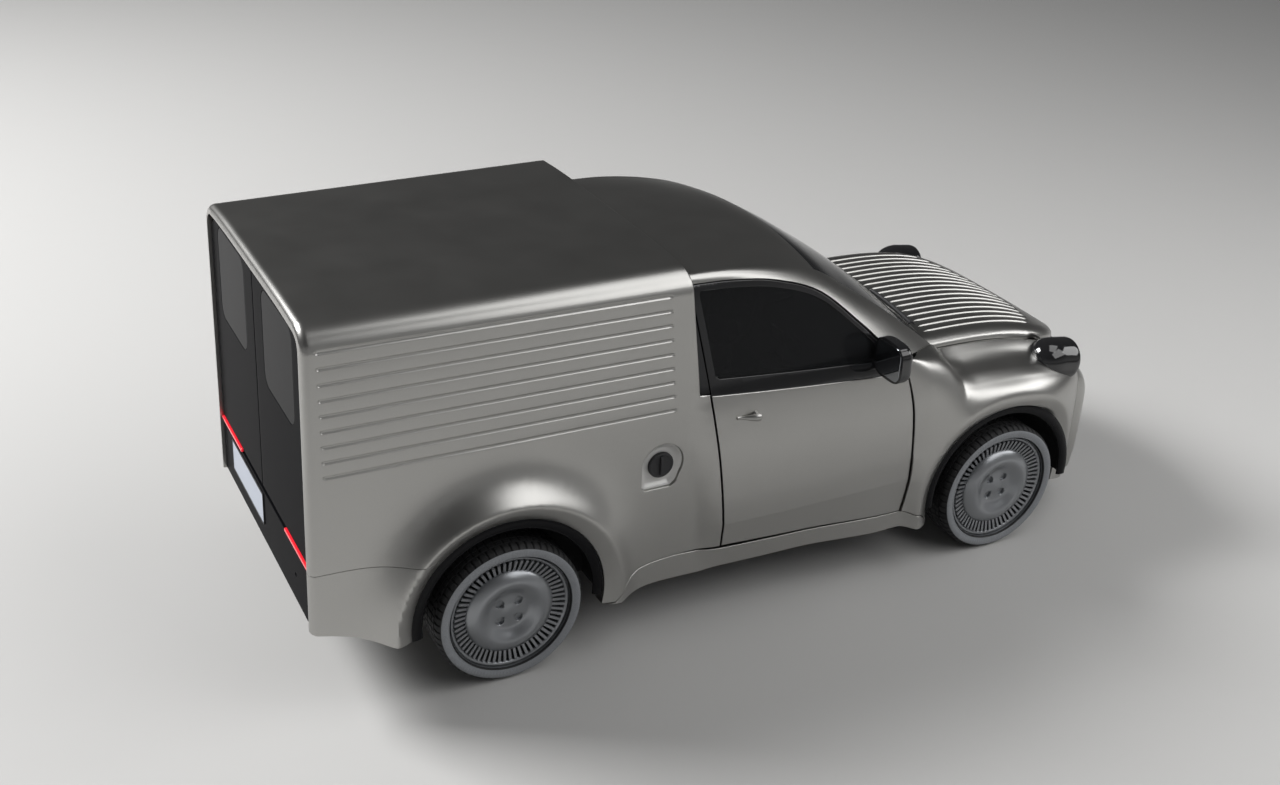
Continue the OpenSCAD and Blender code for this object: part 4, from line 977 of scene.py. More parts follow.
tread = [(325, h) for h in (70, 56, 55.5, 48.5, 48, 26, 25.5, 18.5, 18)]
outer_wall = [(268.4, 82), (271, 91), (274, 96), (277, 97.6), (279, 96.8), (281, 98.4), (290, 100.6),
              (299, 101.4), (306, 100.6), (310.5, 98.6), (312, 97), (316, 92.5), (320.5, 85), (323.8, 77)]
tyre_side = outer_wall + tread
tyre_loop = np.array(tyre_side + [(r, -h) for r, h in tyre_side[::-1]])
SEGMENTS = 480
turn_a = around(SEGMENTS)
step_i = np.arange(SEGMENTS)
radius = np.repeat(tyre_loop[None, :, 0], SEGMENTS, 0)
height = np.repeat(tyre_loop[None, :, 1], SEGMENTS, 0)
in_groove = np.isin(np.abs(tyre_loop[:, 1]), (55.5, 48.5, 25.5, 18.5)) & (tyre_loop[:, 0] > 324)
radius[:, in_groove] -= 7.0
shoulder = (np.abs(tyre_loop[:, 1]) > 55.6) & (tyre_loop[:, 0] > 315)
middle = (np.abs(tyre_loop[:, 1]) < 48.2) & ~in_groove
radius[np.ix_(step_i % 8 < 2, shoulder)] -= 5.0
radius[np.ix_((step_i + 4) % 8 < 1, middle)] -= 4.0
knurled = (tyre_loop[:, 0] > 280) & (tyre_loop[:, 0] < 307) & (tyre_loop[:, 1] > 0)
height[np.ix_(step_i % 4 < 2, knurled)] -= 0.8
tyre_verts = stack(radius * np.cos(turn_a)[:, None], radius * np.sin(turn_a)[:, None], height).reshape(-1, 3)
tyre_faces = ring_faces(SEGMENTS, len(tyre_loop))
disc_loop = [(0, 74), (22, 73.6), (30, 71.5), (42, 69.5), (70, 68.5), (80, 69), (90, 72), (102, 79),
             (116, 88), (128, 94.5), (137, 97.8), (144, 99), (151, 98.6), (160, 96.2), (172, 91),
             (184, 83), (192, 76), (195, 70.5), (197, 66), (194, 60), (180, 66), (152, 70), (120, 58),
             (92, 48), (86, 46), (86, 16), (22, 16), (22, 60.6), (0, 61)]
ring_loop = [(247, 62), (247, 70), (248.5, 73.5), (251, 76.5), (256, 79.5), (260, 79.5), (262.5, 76),
             (263, 70), (266, 69.5), (267.6, 78), (268, 88), (268, -90), (248, -90), (248, 50)]
drum_loop = [(0, 40), (120, 42), (196, 46), (246, 52), (247, 30), (236, -60), (220, -64), (60, -64),
             (60, 8), (24, 10), (24, 40)]
vent_tree, bolt_tree = ring_tree("vent_bars", False), ring_tree("wheel_bolts", True)
bar_w = 2 * math.pi * VENT_IN / VENTS - 8.5
slope = math.atan2(-14.0, VENT_OUT - VENT_IN)
bars = grown("bars", vent_tree, wheel_paint, count=VENTS, size=(VENT_OUT - VENT_IN + 4, bar_w, 12),
             offset=((VENT_IN + VENT_OUT) / 2, 0, 69), tilt=slope)
bolts = grown("bolts", bolt_tree, dark_steel, count=4, size=(16.5, 16.5, 8), offset=(BOLT_R, 0, 53), tilt=0.0)
quarter = np.array([[math.cos(0.785), -math.sin(0.785), 0], [math.sin(0.785), math.cos(0.785), 0], [0, 0, 1]])
bolt_spots = [(BOLT_R * math.cos(a), BOLT_R * math.sin(a), 68.5) for a in np.radians([45, 135, 225, 315])]


def turned_part(name, loop, steps, x, side, finish):
    v, f = lathe(loop, steps)
    return new_object(name, wheel_place(v, x, side), f, finish, 50.0)


for end, x in (("front", FA), ("rear", RA)):
    for hand, side in (("left", 1), ("right", -1)):
        tag, wheel = f"{end}_{hand}", f"wheel_{end}_{hand}"
        tyre = new_object("tyre_body_" + tag, wheel_place(tyre_verts, x, side), tyre_faces, tyre_rubber, 30.0)
        tyre.data.materials.append(band_rubber)
        for face in tyre.data.polygons:
            c = face.center * 1000
            far = math.hypot(c.x - x, c.z - AXLE_Z)
            face.material_index = int(272.5 < far < 310 and side * c.y - WHEEL_Y > 94)
        fit(tyre, wheel, "tyre", "tyre_" + tag)
        disc = turned_part("disc_" + tag, disc_loop, 144, x, side, wheel_paint)
        drill(disc, wheel_place(bolt_spots, x, side), HOLE_R, "y", 11.0)
        fit(disc, wheel, "wheel_paint", "rim_" + tag)
        ring = turned_part("rim_ring_" + tag, ring_loop, 144, x, side, wheel_paint)
        fit(ring, wheel, "wheel_paint", "rim_" + tag)
        fit(new_object("vents_" + tag, wheel_place(bars[0], x, side), bars[1], wheel_paint), wheel,
            "wheel_paint", "rim_" + tag)
        fit(new_object("bolts_" + tag, wheel_place(bolts[0] @ quarter.T, x, side), bolts[1], dark_steel),
            wheel, "wheel_paint", "rim_" + tag)
        drum = turned_part("drum_" + tag, drum_loop, 72, x, side, dark_steel)
        fit(drum, wheel, "wheel_paint", "rim_" + tag)


# ARCH MOULDINGS
# A gloss black half-round strip, moulded in plastic, is clipped inside the lip of each arch and hides the
# joint between the painted panel and the grained liner.
STRIP_HALF, STRIP_T = 24.0, 9.0
arch_black = finish_of("arch_black", (0.006, 0.006, 0.007), 0.0, 0.14, 0.0, 0.1, 60.0)
arch_black.node_tree.nodes["Principled BSDF"].inputs["Specular IOR Level"].default_value = 0.12
strip_section = [(STRIP_HALF * math.cos(t), STRIP_T * math.sin(t)) for t in around(28)]


def swept_arc(cx, side, radius, y_mid, a0, a1, n=120):
    rows = []
    for a in np.radians(np.linspace(a0, a1, n)):
        rows.append([(cx + (radius + r) * math.cos(a), side * (y_mid + d),
                      ARCH_Z + (radius + r) * math.sin(a)) for r, d in strip_section])
    return tube_mesh(np.array(rows))


def tube_mesh(rows):
    n, m = rows.shape[:2]
    at = np.arange(n * m).reshape(n, m)
    turned = np.roll(at, -1, axis=1)
    faces = [tuple(q) for q in np.stack([at[:-1], at[1:], turned[1:], turned[:-1]], -1).reshape(-1, 4)]
    return rows.reshape(-1, 3), faces + [tuple(at[0]), tuple(at[-1][::-1])]


for end, cx in (("front", FA), ("rear", RA)):
    for hand, side in (("left", 1), ("right", -1)):
        verts, faces = swept_arc(cx, side, ARCH_R - STRIP_HALF - 1, 806.0, -5, 185)
        fit(new_object(f"arch_strip_{end}_{hand}", verts, faces, arch_black), "body", "gloss_black")


# REAR DOORS
# Two gloss black doors meet at the middle of the tail, each with a flush bonded window. They swing on
# hidden pins at their outer edges, and a grained board covers the inside below the glass.
LEAN = math.atan2(TAIL_LEAN, BOX_H - TAIL_Z)
DOOR_LOW, DOOR_HIGH, DOOR_OUT, LAMP_LOW, TAIL_IN = 285.0, 1268.0, 689.0, 261.0, 697.0
DOOR_ROUND = 118


def tail_pt(lx, y, lz):
    return stack(TAIL + lx * math.cos(LEAN) + lz * math.sin(LEAN), y,
                 TAIL_Z - lx * math.sin(LEAN) + lz * math.cos(LEAN))


def tail_face(lx):
    return lambda y, lz: tail_pt(lx, y, lz)


rear_loop = ([(3.0, DOOR_LOW), (DOOR_OUT, DOOR_LOW)]
             + [(DOOR_OUT - DOOR_ROUND + DOOR_ROUND * math.cos(t), DOOR_HIGH - DOOR_ROUND + DOOR_ROUND
                 * math.sin(t)) for t in np.linspace(0, math.pi / 2, 12)] + [(3.0, DOOR_HIGH)])
rear_window = rounded_box(353, 1042, 215, 210, 62)
rear_pts = grid_points(np.arange(12, 690, 26.0), np.arange(300, 1270, 26.0))
rear_black = finish_of("rear_black", (0.006, 0.006, 0.007), 0.0, 0.2, 0.0, 0.1, 60.0)
rear_glass = finish_of("rear_glass", (0.014, 0.014, 0.015), 0.0, 0.16, 0.0, 0.1, 30.0)
for finish, shine in ((rear_black, 0.003), (rear_glass, 0.01)):
    finish.node_tree.nodes["Principled BSDF"].inputs["Specular IOR Level"].default_value = shine
for side, name in ((1, "rear_door_left"), (-1, "rear_door_right")):
    turn_side = (lambda f: f) if side > 0 else mirrored
    shell = panel(name + "_shell", [rear_loop, rear_window], rear_pts, turn_side(tail_face(14)),
                  turn_side(tail_face(58)), rear_black, 3.0, 20.0)
    fit(shell, name, "gloss_black", name)
    pane = panel(name + "_pane", [inset(resample(rear_window, 20.0), 0.8)], rear_pts,
                 turn_side(tail_face(14.4)), turn_side(tail_face(20.4)), rear_glass, 1.2, 20.0)
    fit(pane, name, "tinted_glass", name + "_glass")
    board = panel(name + "_board", [rounded_box(350, 550, 290, 220, 40)], rear_pts, turn_side(tail_face(60)),
                  turn_side(tail_face(57.5)), trim_plastic, 1.2, 20.0)
    fit(board, name, "black_plastic")


# TAIL PANEL, LAMPS AND PLATE
# A gloss black moulding closes the tail below the doors. Two slim red light guides lie in the seam above
# it, and a plain reflective plate is screwed on beside the middle.
socket = [(-480 + 8 * math.cos(t), 130 + 8 * math.sin(t)) for t in around(20)]
low_edge_in = TAIL_IN - 0.6
tail_loop = [(-low_edge_in, 4.0), (low_edge_in, 4.0), (low_edge_in, LAMP_LOW - 0.5),
             (-low_edge_in, LAMP_LOW - 0.5)]
tail_pts = grid_points(np.arange(-690, 691, 30.0), np.arange(12, 256, 26.0))
fit(panel("tail_panel", [tail_loop, socket], tail_pts, tail_face(14), tail_face(60), rear_black, 2.0,
          24.0), "body", "gloss_black", "rear_panel")
lamp_red = finish_of("lamp_red", (0.55, 0.012, 0.02), 0.0, 0.12, 0.5, 0.15, 300.0)
lamp_red.node_tree.nodes["Principled BSDF"].inputs["Emission Color"].default_value = (1.0, 0.03, 0.05, 1)
lamp_red.node_tree.nodes["Principled BSDF"].inputs["Emission Strength"].default_value = 0.55
lamp_pts = grid_points(np.arange(350, 697, 8.0), np.arange(262, 277, 4.0))
lamp_loop = rounded_box(521.4, LAMP_LOW + 8.3, 175, 7.8, 6)
for side, hand in ((1, "left"), (-1, "right")):
    turn_side = (lambda f: f) if side > 0 else mirrored
    fit(panel("tail_lamp_" + hand, [lamp_loop], lamp_pts, turn_side(tail_face(8)),
              turn_side(tail_face(18)), lamp_red, 3.0, 6.0), "body", "lamp_red", "tail_lamps")
# Plate colour: the plate's own bluish white, darkened toward its shaded look, so partly own colour and partly
# painted shade.
plate_paint_with_painted_shade = finish_of("plate_paint_with_painted_shade", (0.46, 0.5, 0.58), 0.0, 0.4, 0.2, 0.04)
plate_pts = grid_points(np.arange(10, 524, 18.0), np.arange(94, 232, 18.0))
fit(panel("plate_frame", [rounded_box(265, 161, 264, 77, 9), rounded_box(265, 161, 258, 71, 6)],
          plate_pts, tail_face(9.5), tail_face(13.8), trim_plastic, 1.2, 12.0), "body", "black_plastic")
fit(panel("plate", [rounded_box(265, 161, 257.5, 70.5, 6)], plate_pts, tail_face(11), tail_face(13.8),
          plate_paint_with_painted_shade, 0.8, 12.0), "body", "lamp_clear")


# FUEL FILLER
# A drawn bowl is welded behind the D-shaped opening in the right side. It is painted with the body colour
# made paler and less metallic, a painted highlight for the light its floor catches. A round plastic cap with
# a grip bar screws into its floor.
def bowl(x, z):
    pts = np.stack([x, z], 1)
    near = np.full(len(pts), 1e9)
    for a, b in zip(bowl_loop, np.roll(bowl_loop, -1, axis=0)):
        t = np.clip(((pts - a) @ (b - a)) / max((b - a) @ (b - a), 1e-9), 0, 1)
        near = np.minimum(near, np.linalg.norm(pts - a - t[:, None] * (b - a), axis=1))
    return stack(x, -(box_half(filler_x) - 27 + 16 * (1 - ease(near / 30))), z)


bowl_loop = inset(resample(filler_hole, 8.0), 0.7)
# Bowl finish: the body colour lightened to a pale grey, a painted highlight for the lit floor of the recess.
bowl_painted_highlight = finish_of("bowl_painted_highlight", (0.6, 0.595, 0.58), 0.35, 0.42, 0.0, 0.08)
bowl_pts = grid_points(np.arange(filler_x - 100, filler_x + 100, 6.0),
                       np.arange(filler_z - 110, filler_z + 110, 6.0))
fit(panel("filler_bowl", [bowl_loop], bowl_pts, bowl, lambda x, z: bowl(x, z) + np.array([0, 6.0, 0]),
          bowl_painted_highlight, 1.0, 8.0), "body", "body_paint")
cap_v, cap_f = lathe([(0, 0), (59, 0), (59, 9), (56, 13), (50, 14), (47, 12), (40, 11), (0, 11)], 64)
grip = np.array([[(-44 + 88 * u, w * (9 - 3 * h), 10 + 13 * h * math.sin(math.pi * (0.08 + 0.84 * u)) ** 0.5)
                  for w, h in ((-1, 0), (-1, 1), (1, 1), (1, 0))] for u in np.linspace(0, 1, 12)])
grip_v, grip_f = tube_mesh(grip)


def cap_place(v):
    return np.stack([filler_x + v[:, 0], -(box_half(filler_x) - 26) - v[:, 2], filler_z - 4 + v[:, 1]], 1)


fit(new_object("filler_cap_disc", cap_place(cap_v), cap_f, trim_plastic), "body", "black_plastic",
    "filler_cap")
fit(new_object("filler_cap_grip", cap_place(grip_v[:, [1, 0, 2]]), grip_f, trim_plastic), "body",
    "black_plastic", "filler_cap")


# HEADLAMPS
# Gloss black pods stand on the shelves of the wings. Each holds a bright reflector bowl behind a domed
# clear lens that is bonded into the front ring.
LAMP_TILT = math.radians(98)
chrome = finish_of("chrome", (0.75, 0.76, 0.78), 1.0, 0.12, 0.0, 0.03)
clear_lens = tinted("clear_lens", (0.6, 0.62, 0.65), 0.85)
LAMP_FRONT = 94.0
back_curve = [(LAMP_R * math.cos(t) ** 0.7, LAMP_FRONT - 98 - 122 * math.sin(t))
              for t in np.radians(np.linspace(0, 89.5, 26))]
pod_front = [(0, -88), (36, -84), (66, -66), (LAMP_R - 17, -34), (LAMP_R - 15, -6), (LAMP_R - 13, -1),
             (LAMP_R * 0.93, 0), (LAMP_R - 3, -6), (LAMP_R - 0.5, -18), (LAMP_R, -30), (LAMP_R, -63)]
pod_loop = [(r, h + LAMP_FRONT) for r, h in pod_front] + back_curve + [(0, LAMP_FRONT - 220)]
bowl_front = [(0, -86), (36, -82), (66, -64), (LAMP_R - 18, -32), (LAMP_R - 18.5, -29), (64, -60),
              (35, -78), (0, -82)]
bowl_line = [(r, h + LAMP_FRONT) for r, h in bowl_front]
dome = [((LAMP_R - 18) * math.cos(t), LAMP_FRONT - 10 + 18 * math.sin(t))
        for t in np.radians(np.linspace(0, 90, 12))]
lens_loop = [(0, LAMP_FRONT - 28), (LAMP_R - 19, LAMP_FRONT - 28)] + dome


def lamp_place(v, side):
    c, s = math.cos(LAMP_TILT), math.sin(LAMP_TILT)
    return np.stack([LAMP_X + c * v[:, 0] + s * v[:, 2], side * (LAMP_Y + v[:, 1]),
                     LAMP_Z - s * v[:, 0] + c * v[:, 2]], 1)


lamp_parts = [("pod_", pod_loop, gloss_black, "gloss_black", "headlamps"),
              ("reflector_", bowl_line, chrome, "lamp_clear", "headlamps"),
              ("lens_", lens_loop, clear_lens, "lamp_clear", "headlamp_lenses")]
for side, hand in ((1, "left"), (-1, "right")):
    for name, loop, finish, slot_name, node in lamp_parts:
        v, f = lathe(loop, 72)
        fit(new_object(name + hand, lamp_place(v, side), f, finish, 50.0), "body", slot_name, node)


# GRILLE
# Black moulded slats fill the openings of the nose. Fine upright bars stand between them on the same
# carrier, which is clipped in from behind.
def row_tree(name):
    tree, given, result = node_group(name, [("Count", "NodeSocketInt"), ("Size", "NodeSocketVector"),
                                            ("Start", "NodeSocketVector"), ("Pitch", "NodeSocketVector"),
                                            ("Finish", "NodeSocketMaterial")])
    line, put = tree.nodes.new("GeometryNodeMeshLine"), tree.nodes.new("GeometryNodeInstanceOnPoints")
    solid = tree.nodes.new("GeometryNodeMeshCube")
    for a, b in ((given.outputs["Count"], line.inputs["Count"]),
                 (given.outputs["Start"], line.inputs["Start Location"]),
                 (given.outputs["Pitch"], line.inputs["Offset"]),
                 (given.outputs["Size"], solid.inputs["Size"]),
                 (line.outputs["Mesh"], put.inputs["Points"]),
                 (solid.outputs["Mesh"], put.inputs["Instance"])):
        tree.links.new(a, b)
    finish_tree(tree, put, given, result)
    return tree


slat_tree = row_tree("grille_bars")
upright = grown("upright", slat_tree, trim_plastic, count=33, size=(40, 5, 150),
                start=(WING_END + 130, -320, 640), pitch=(0, 20, 0))
fit(new_object("grille_uprights", upright[0], upright[1], trim_plastic), "body", "black_plastic")


# DOOR MIRRORS
# A gloss black moulded shell on a short arm bolted to the sail of each door. A flat glass tilts inside it.
def mirror_shell(n=48, m=64):
    u, v = np.meshgrid(np.linspace(-math.pi / 2, math.pi / 2, n), around(m), indexing="ij")
    power = lambda c, e: np.sign(c) * np.abs(c) ** e
    ring = power(np.cos(u), 0.55)
    x = 80 * power(np.sin(u), 0.55)
    y = 102 * ring * power(np.cos(v), 0.62)
    z = 92 * ring * power(np.sin(v), 0.62)
    front = np.where(x > 0, x * 0.95, np.maximum(x, -1) * 38)
    return stack(front, y, z)


mirror_rows = mirror_shell()
arm_rows = np.array([[(474 + 20 * u + (16 - 3 * u) * math.cos(t), 742 + 90 * u, 1136 + 6 * u
                       + (20 - 5 * u) * math.sin(t)) for t in around(20)] for u in np.linspace(0, 1, 8)])
glass_dark = finish_of("mirror_glass", (0.5, 0.52, 0.55), 1.0, 0.03, 0.0, 0.02)
mirror_outline = rounded_box(0, 0, 86, 77, 34)
for side, hand in ((1, "left"), (-1, "right")):
    turned = np.array([1.0, side, 1.0])
    base = np.array([494.0, 872.0, 1182.0])
    at = np.arange(mirror_rows.shape[0] * mirror_rows.shape[1]).reshape(mirror_rows.shape[:2])
    nxt = np.roll(at, -1, axis=1)
    quads = [tuple(q) for q in np.stack([at[:-1], at[1:], nxt[1:], nxt[:-1]], -1).reshape(-1, 4)]
    shell = new_object("mirror_shell_" + hand, (mirror_rows.reshape(-1, 3) * np.array([0.62, 1, 1])
                                                + base) * turned, quads, gloss_black)
    fit(shell, "door_" + hand, "gloss_black", f"door_{hand}_mirror")
    arm_v, arm_f = tube_mesh(arm_rows)
    fit(new_object("mirror_arm_" + hand, arm_v * turned, arm_f, gloss_black), "door_" + hand,
        "gloss_black", f"door_{hand}_mirror")
    face = lambda lift: (lambda y, z: stack(base[0] - 24 - lift, side * (base[1] + y), base[2] + z))
    fit(panel("mirror_glass_" + hand, [mirror_outline],
              grid_points(np.arange(-80, 81, 20.0), np.arange(-70, 71, 20.0)), face(2), face(-3),
              glass_dark, 1.0, 12.0), "door_" + hand, "gloss_black", f"door_{hand}_mirror")


# DOOR HANDLES
# A cast lever, painted with the body, tapers back from a round head that is bolted to the door skin.
HANDLE_Z, HANDLE_BACK, HANDLE_HEAD = 1010.0, -232.0, -124.0
lever = []
for u in np.linspace(0, 1, 30):
    thick = 7.5 + 10 * ease((u - 0.15) / 0.7)
    round_end = math.sqrt(max(0.0, 1 - max(0.0, (u - 0.88) / 0.12) ** 2))
    hx, out = mix(HANDLE_BACK, HANDLE_HEAD, u), mix(3, 26, ease(u / 0.8))
    hy = float(cab_half(hx, HANDLE_Z)) + out
    lever.append([(hx, hy + thick * 0.8 * max(round_end, 0.02) * math.cos(t),
                   HANDLE_Z + thick * max(round_end, 0.02) * math.sin(t)) for t in around(20)])
lever_v, lever_f = tube_mesh(np.array(lever))
stem_v, stem_f = lathe([(0, -4), (17, -4), (17, 0), (13, 5), (10, 20), (0, 22)], 32)
stem_x = HANDLE_HEAD - 18
stem_v = np.stack([stem_x + stem_v[:, 0], float(cab_half(stem_x, HANDLE_Z)) + stem_v[:, 2],
                   HANDLE_Z + stem_v[:, 1]], 1)
for side, hand in ((1, "left"), (-1, "right")):
    turned = np.array([1.0, side, 1.0])
    fit(new_object("handle_lever_" + hand, lever_v * turned, lever_f, body_paint), "door_" + hand,
        "body_paint")
    fit(new_object("handle_stem_" + hand, stem_v * turned, stem_f, body_paint), "door_" + hand, "body_paint")


# WIPERS
# Two black arms lie parked along the foot of the windscreen, each with a slim rubber blade.
def flat_rod(path, wide, thick):
    path = np.asarray(path, float)
    ahead = np.gradient(path, axis=0)
    ahead /= np.linalg.norm(ahead, axis=1)[:, None]
    up = np.array([0.55, 0, 0.83])
    out = np.cross(ahead, up)
    out /= np.linalg.norm(out, axis=1)[:, None]
    lift = np.cross(out, ahead)
    t = around(12)
    rows = (path[:, None] + out[:, None] * (wide * np.cos(t))[None, :, None]
            + lift[:, None] * (thick * np.sin(t))[None, :, None])
    return tube_mesh(rows)


for hand, w0, w1 in (("left", 0.18, 0.82), ("right", -0.86, -0.22)):
    w = np.linspace(w0, w1, 24)
    blade = shell_at(np.full(24, 5.66), w) + np.array([6.0, 0, 12.0])
    arm = shell_at(np.linspace(5.92, 5.68, 12), np.linspace(w0 * 0.75 if w0 > 0 else w0 + 0.1,
                                                            (w0 + w1) / 2, 12)) + np.array([6, 0, 19.0])
    for part, path, wide, thick in (("blade_", blade, 5.0, 9.0), ("arm_", arm, 8.0, 4.0)):
        v, f = flat_rod(path, wide, thick)
        fit(new_object("wiper_" + part + hand, v, f, trim_plastic), "body", "black_plastic")


# SEATS
# Two cab seats of moulded foam under a woven cloth cover. The cover is drawn into the foam along sewn
# channels, and the head pad stands on two steel posts.
def cloth_of(name, colour, thread):
    m = bpy.data.materials.new(name)
    m.use_nodes = True
    nt = m.node_tree
    add, link = nt.nodes.new, nt.links.new
    b = nt.nodes["Principled BSDF"]
    place, both_ways, pale = add("ShaderNodeTexCoord"), add("ShaderNodeMath"), add("ShaderNodeMix")
    both_ways.operation, pale.data_type = "MULTIPLY", "RGBA"
    for k, way in enumerate(("Y", "DIAGONAL")):
        threads = add("ShaderNodeTexWave")
        threads.bands_direction = way
        threads.inputs["Scale"].default_value = thread
        threads.inputs["Distortion"].default_value = 0.6
        link(place.outputs["Object"], threads.inputs["Vector"])
        link(threads.outputs["Fac"], both_ways.inputs[k])
    pale.inputs[6].default_value = (*[c * 0.55 for c in colour], 1)
    pale.inputs[7].default_value = (*[c * 1.5 for c in colour], 1)
    raised = add("ShaderNodeBump")
    raised.inputs["Strength"].default_value = 0.35
    raised.inputs["Distance"].default_value = 0.001
    link(both_ways.outputs["Value"], pale.inputs[0])
    link(pale.outputs[2], b.inputs["Base Color"])
    link(both_ways.outputs["Value"], raised.inputs["Height"])
    link(raised.outputs["Normal"], b.inputs["Normal"])
    b.inputs["Roughness"].default_value = 0.92
    b.inputs["Sheen Weight"].default_value = 0.25
    return m


def extruded(outline, y0, y1):
    loop = np.asarray(outline, float)
    rows = np.array([[(x, y, z) for x, z in loop] for y in np.linspace(y0, y1, 9)])
    return tube_mesh(rows)


def swollen(obj, voxel, cap):
    remesh = obj.modifiers.new("even_mesh", "REMESH")
    remesh.mode, remesh.voxel_size = "VOXEL", voxel
    deps = bpy.context.evaluated_depsgraph_get()
    obj.data = bpy.data.meshes.new_from_object(obj.evaluated_get(deps))
    obj.modifiers.clear()
    rest = np.array([tuple(v.co) for v in obj.data.vertices])
    faces = [tuple(p.vertices) for p in obj.data.polygons]
    stuffed = obj.modifiers.new("stuffed", "CLOTH")
    stuffed.settings.use_pressure = True
    stuffed.settings.uniform_pressure_force = 4.0
    stuffed.settings.effector_weights.gravity = 0.0
    for f in range(1, 21):
        bpy.context.scene.frame_set(f)
    deps = bpy.context.evaluated_depsgraph_get()
    done = obj.evaluated_get(deps).data
    moved = np.array([tuple(v.co) for v in done.vertices]) - rest
    far = np.linalg.norm(moved, axis=1)[:, None]
    obj.modifiers.clear()
    bpy.context.scene.frame_set(1)
    return (rest + moved * np.minimum(1, cap / np.maximum(far, 1e-9))) * 1000, faces


def sewn(verts, lines, depth):
    sunk = np.zeros(len(verts))
    for distance in lines:
        sunk = np.maximum(sunk, depth * np.exp(-((distance(verts) / 6.5) ** 2)))
    return sunk


SEAT_Y, BOLSTER, PAD_CAP, PAD_VOXEL = 365.0, 128.0, 0.022, 0.010
seat_cloth = cloth_of("seat_cloth", (0.035, 0.037, 0.041), 240.0)
post_steel = finish_of("post_steel", (0.32, 0.32, 0.33), 0.9, 0.3, 0.0, 0.05)
pads = {"cushion": ([(-176, 306), (238, 306), (276, 420), (290, 512), (252, 540), (-160, 494)], 146, 584, 2),
        "backrest": ([(-184, 524), (-84, 540), (-222, 1062), (-284, 1068), (-304, 1036)], 158, 572, 0),
        "headrest": ([(-228, 1112), (-280, 1254), (-336, 1254), (-318, 1116)], 246, 484, 0)}
for pad, (outline, y0, y1, face_axis) in pads.items():
    start = new_object("start_" + pad, *extruded(outline, y0, y1), seat_cloth)
    verts, faces = swollen(start, PAD_VOXEL, PAD_CAP)
    bpy.data.objects.remove(start)
    verts[:, 1] = np.clip(verts[:, 1], y0 - 15, y1 + 15)
    if pad == "cushion":
        verts[:, 2] = np.maximum(verts[:, 2], 293.0)
    cover = new_object("seat_" + pad + "_right", verts * np.array([1.0, -1.0, 1.0]), faces, seat_cloth,
                       80.0, False)
    fine = cover.modifiers.new("fine", "SUBSURF")
    fine.levels = fine.render_levels = 1
    deps = bpy.context.evaluated_depsgraph_get()
    smooth = bpy.data.meshes.new_from_object(cover.evaluated_get(deps))
    verts = np.array([tuple(v.co) for v in smooth.vertices]) * 1000
    normals = np.array([tuple(v.normal) for v in smooth.vertices])
    faces = [tuple(p.vertices) for p in smooth.polygons]
    bpy.data.objects.remove(cover)
    if pad != "headrest":
        side_y = lambda v: np.abs(-v[:, 1] - SEAT_Y)
        along = (lambda v: v[:, 0] + 170) if face_axis else (lambda v: v[:, 2] - 560)
        ribs = lambda v: np.where(side_y(v) < BOLSTER, np.abs((along(v) + 45) % 90 - 45), 99.0)
        seams = lambda v: np.abs(side_y(v) - BOLSTER)
        on_front = normals[:, 2] > 0.35 if face_axis else normals[:, 0] > 0.35
        verts -= normals * (sewn(verts, (ribs, seams), 8.0) * on_front)[:, None]
    for hand, side in (("right", 1.0), ("left", -1.0)):
        cover = new_object(f"seat_{pad}_{hand}", verts * np.array([1.0, side, 1.0]), faces, seat_cloth,
                           80.0, False)
        fit(cover, "body", "seat_cloth", "seats")
for hand, side in (("right", -1.0), ("left", 1.0)):
    for k, y in enumerate((300.0, 430.0)):
        path = np.array([(-246 - 26 * u, side * y, 1040 + 110 * u) for u in np.linspace(0, 1, 8)])
        ring = [[(p[0] + 6 * math.cos(t), p[1] + 6 * math.sin(t), p[2]) for t in around(14)]
                for p in path]
        fit(new_object(f"head_post_{k}_{hand}", *tube_mesh(np.array(ring)), post_steel), "body", "seat_cloth")


# DASHBOARD
# One grained moulding across the cab, screwed to the scuttle, with a hooded instrument face before the
# driver, louvred air vents and three knobs in the middle.
def softened(loop, times):
    p = np.asarray(loop, float)
    for _ in range(times):
        q = np.roll(p, -1, axis=0)
        p = np.stack([0.75 * p + 0.25 * q, 0.25 * p + 0.75 * q], 1).reshape(-1, 2)
    return p


def bar_across(outline, y0, y1, r):
    loop = softened(outline, 3)
    rows = []
    for end, sign in ((y0, 1), (y1, -1)):
        turns = np.linspace(0, math.pi / 2, 7)
        part = [[(x, end + sign * r * (1 - math.sin(a)), z)
                 for x, z in inset(loop, r * (1 - math.cos(a)))] for a in turns]
        rows += part[::-1] if sign > 0 else part
    return tube_mesh(np.array(rows))


DASH_HALF, DASH_X = 639.0, 520.0
dash_loop = [(846, 632), (556, 646), (512, 700), (512, 770), (526, 850), (526, 934), (574, 962),
             (640, 983), (760, 984), (846, 984)]
dash_v, dash_f = bar_across(dash_loop, -DASH_HALF, DASH_HALF, 16.0)
fit(new_object("dash_moulding", dash_v, dash_f, trim_plastic, 50.0), "body", "black_plastic", "dashboard")
hood_v, hood_f = bar_across([(700, 978), (560, 962), (508, 940), (500, 985), (540, 1030), (620, 1036),
                             (720, 1000)], 225, 495, 22.0)
fit(new_object("instrument_hood", hood_v, hood_f, trim_plastic, 50.0), "body", "black_plastic")
vent_bars = grown("dash_louvres", slat_tree, trim_plastic, count=5, size=(14, 96, 3),
                  start=(DASH_X - 1, 0, 872), pitch=(0, 0, 11))
vent_frame = rounded_box(0, 893, 58, 32, 12)
vent_hole = rounded_box(0, 893, 50, 24, 8)
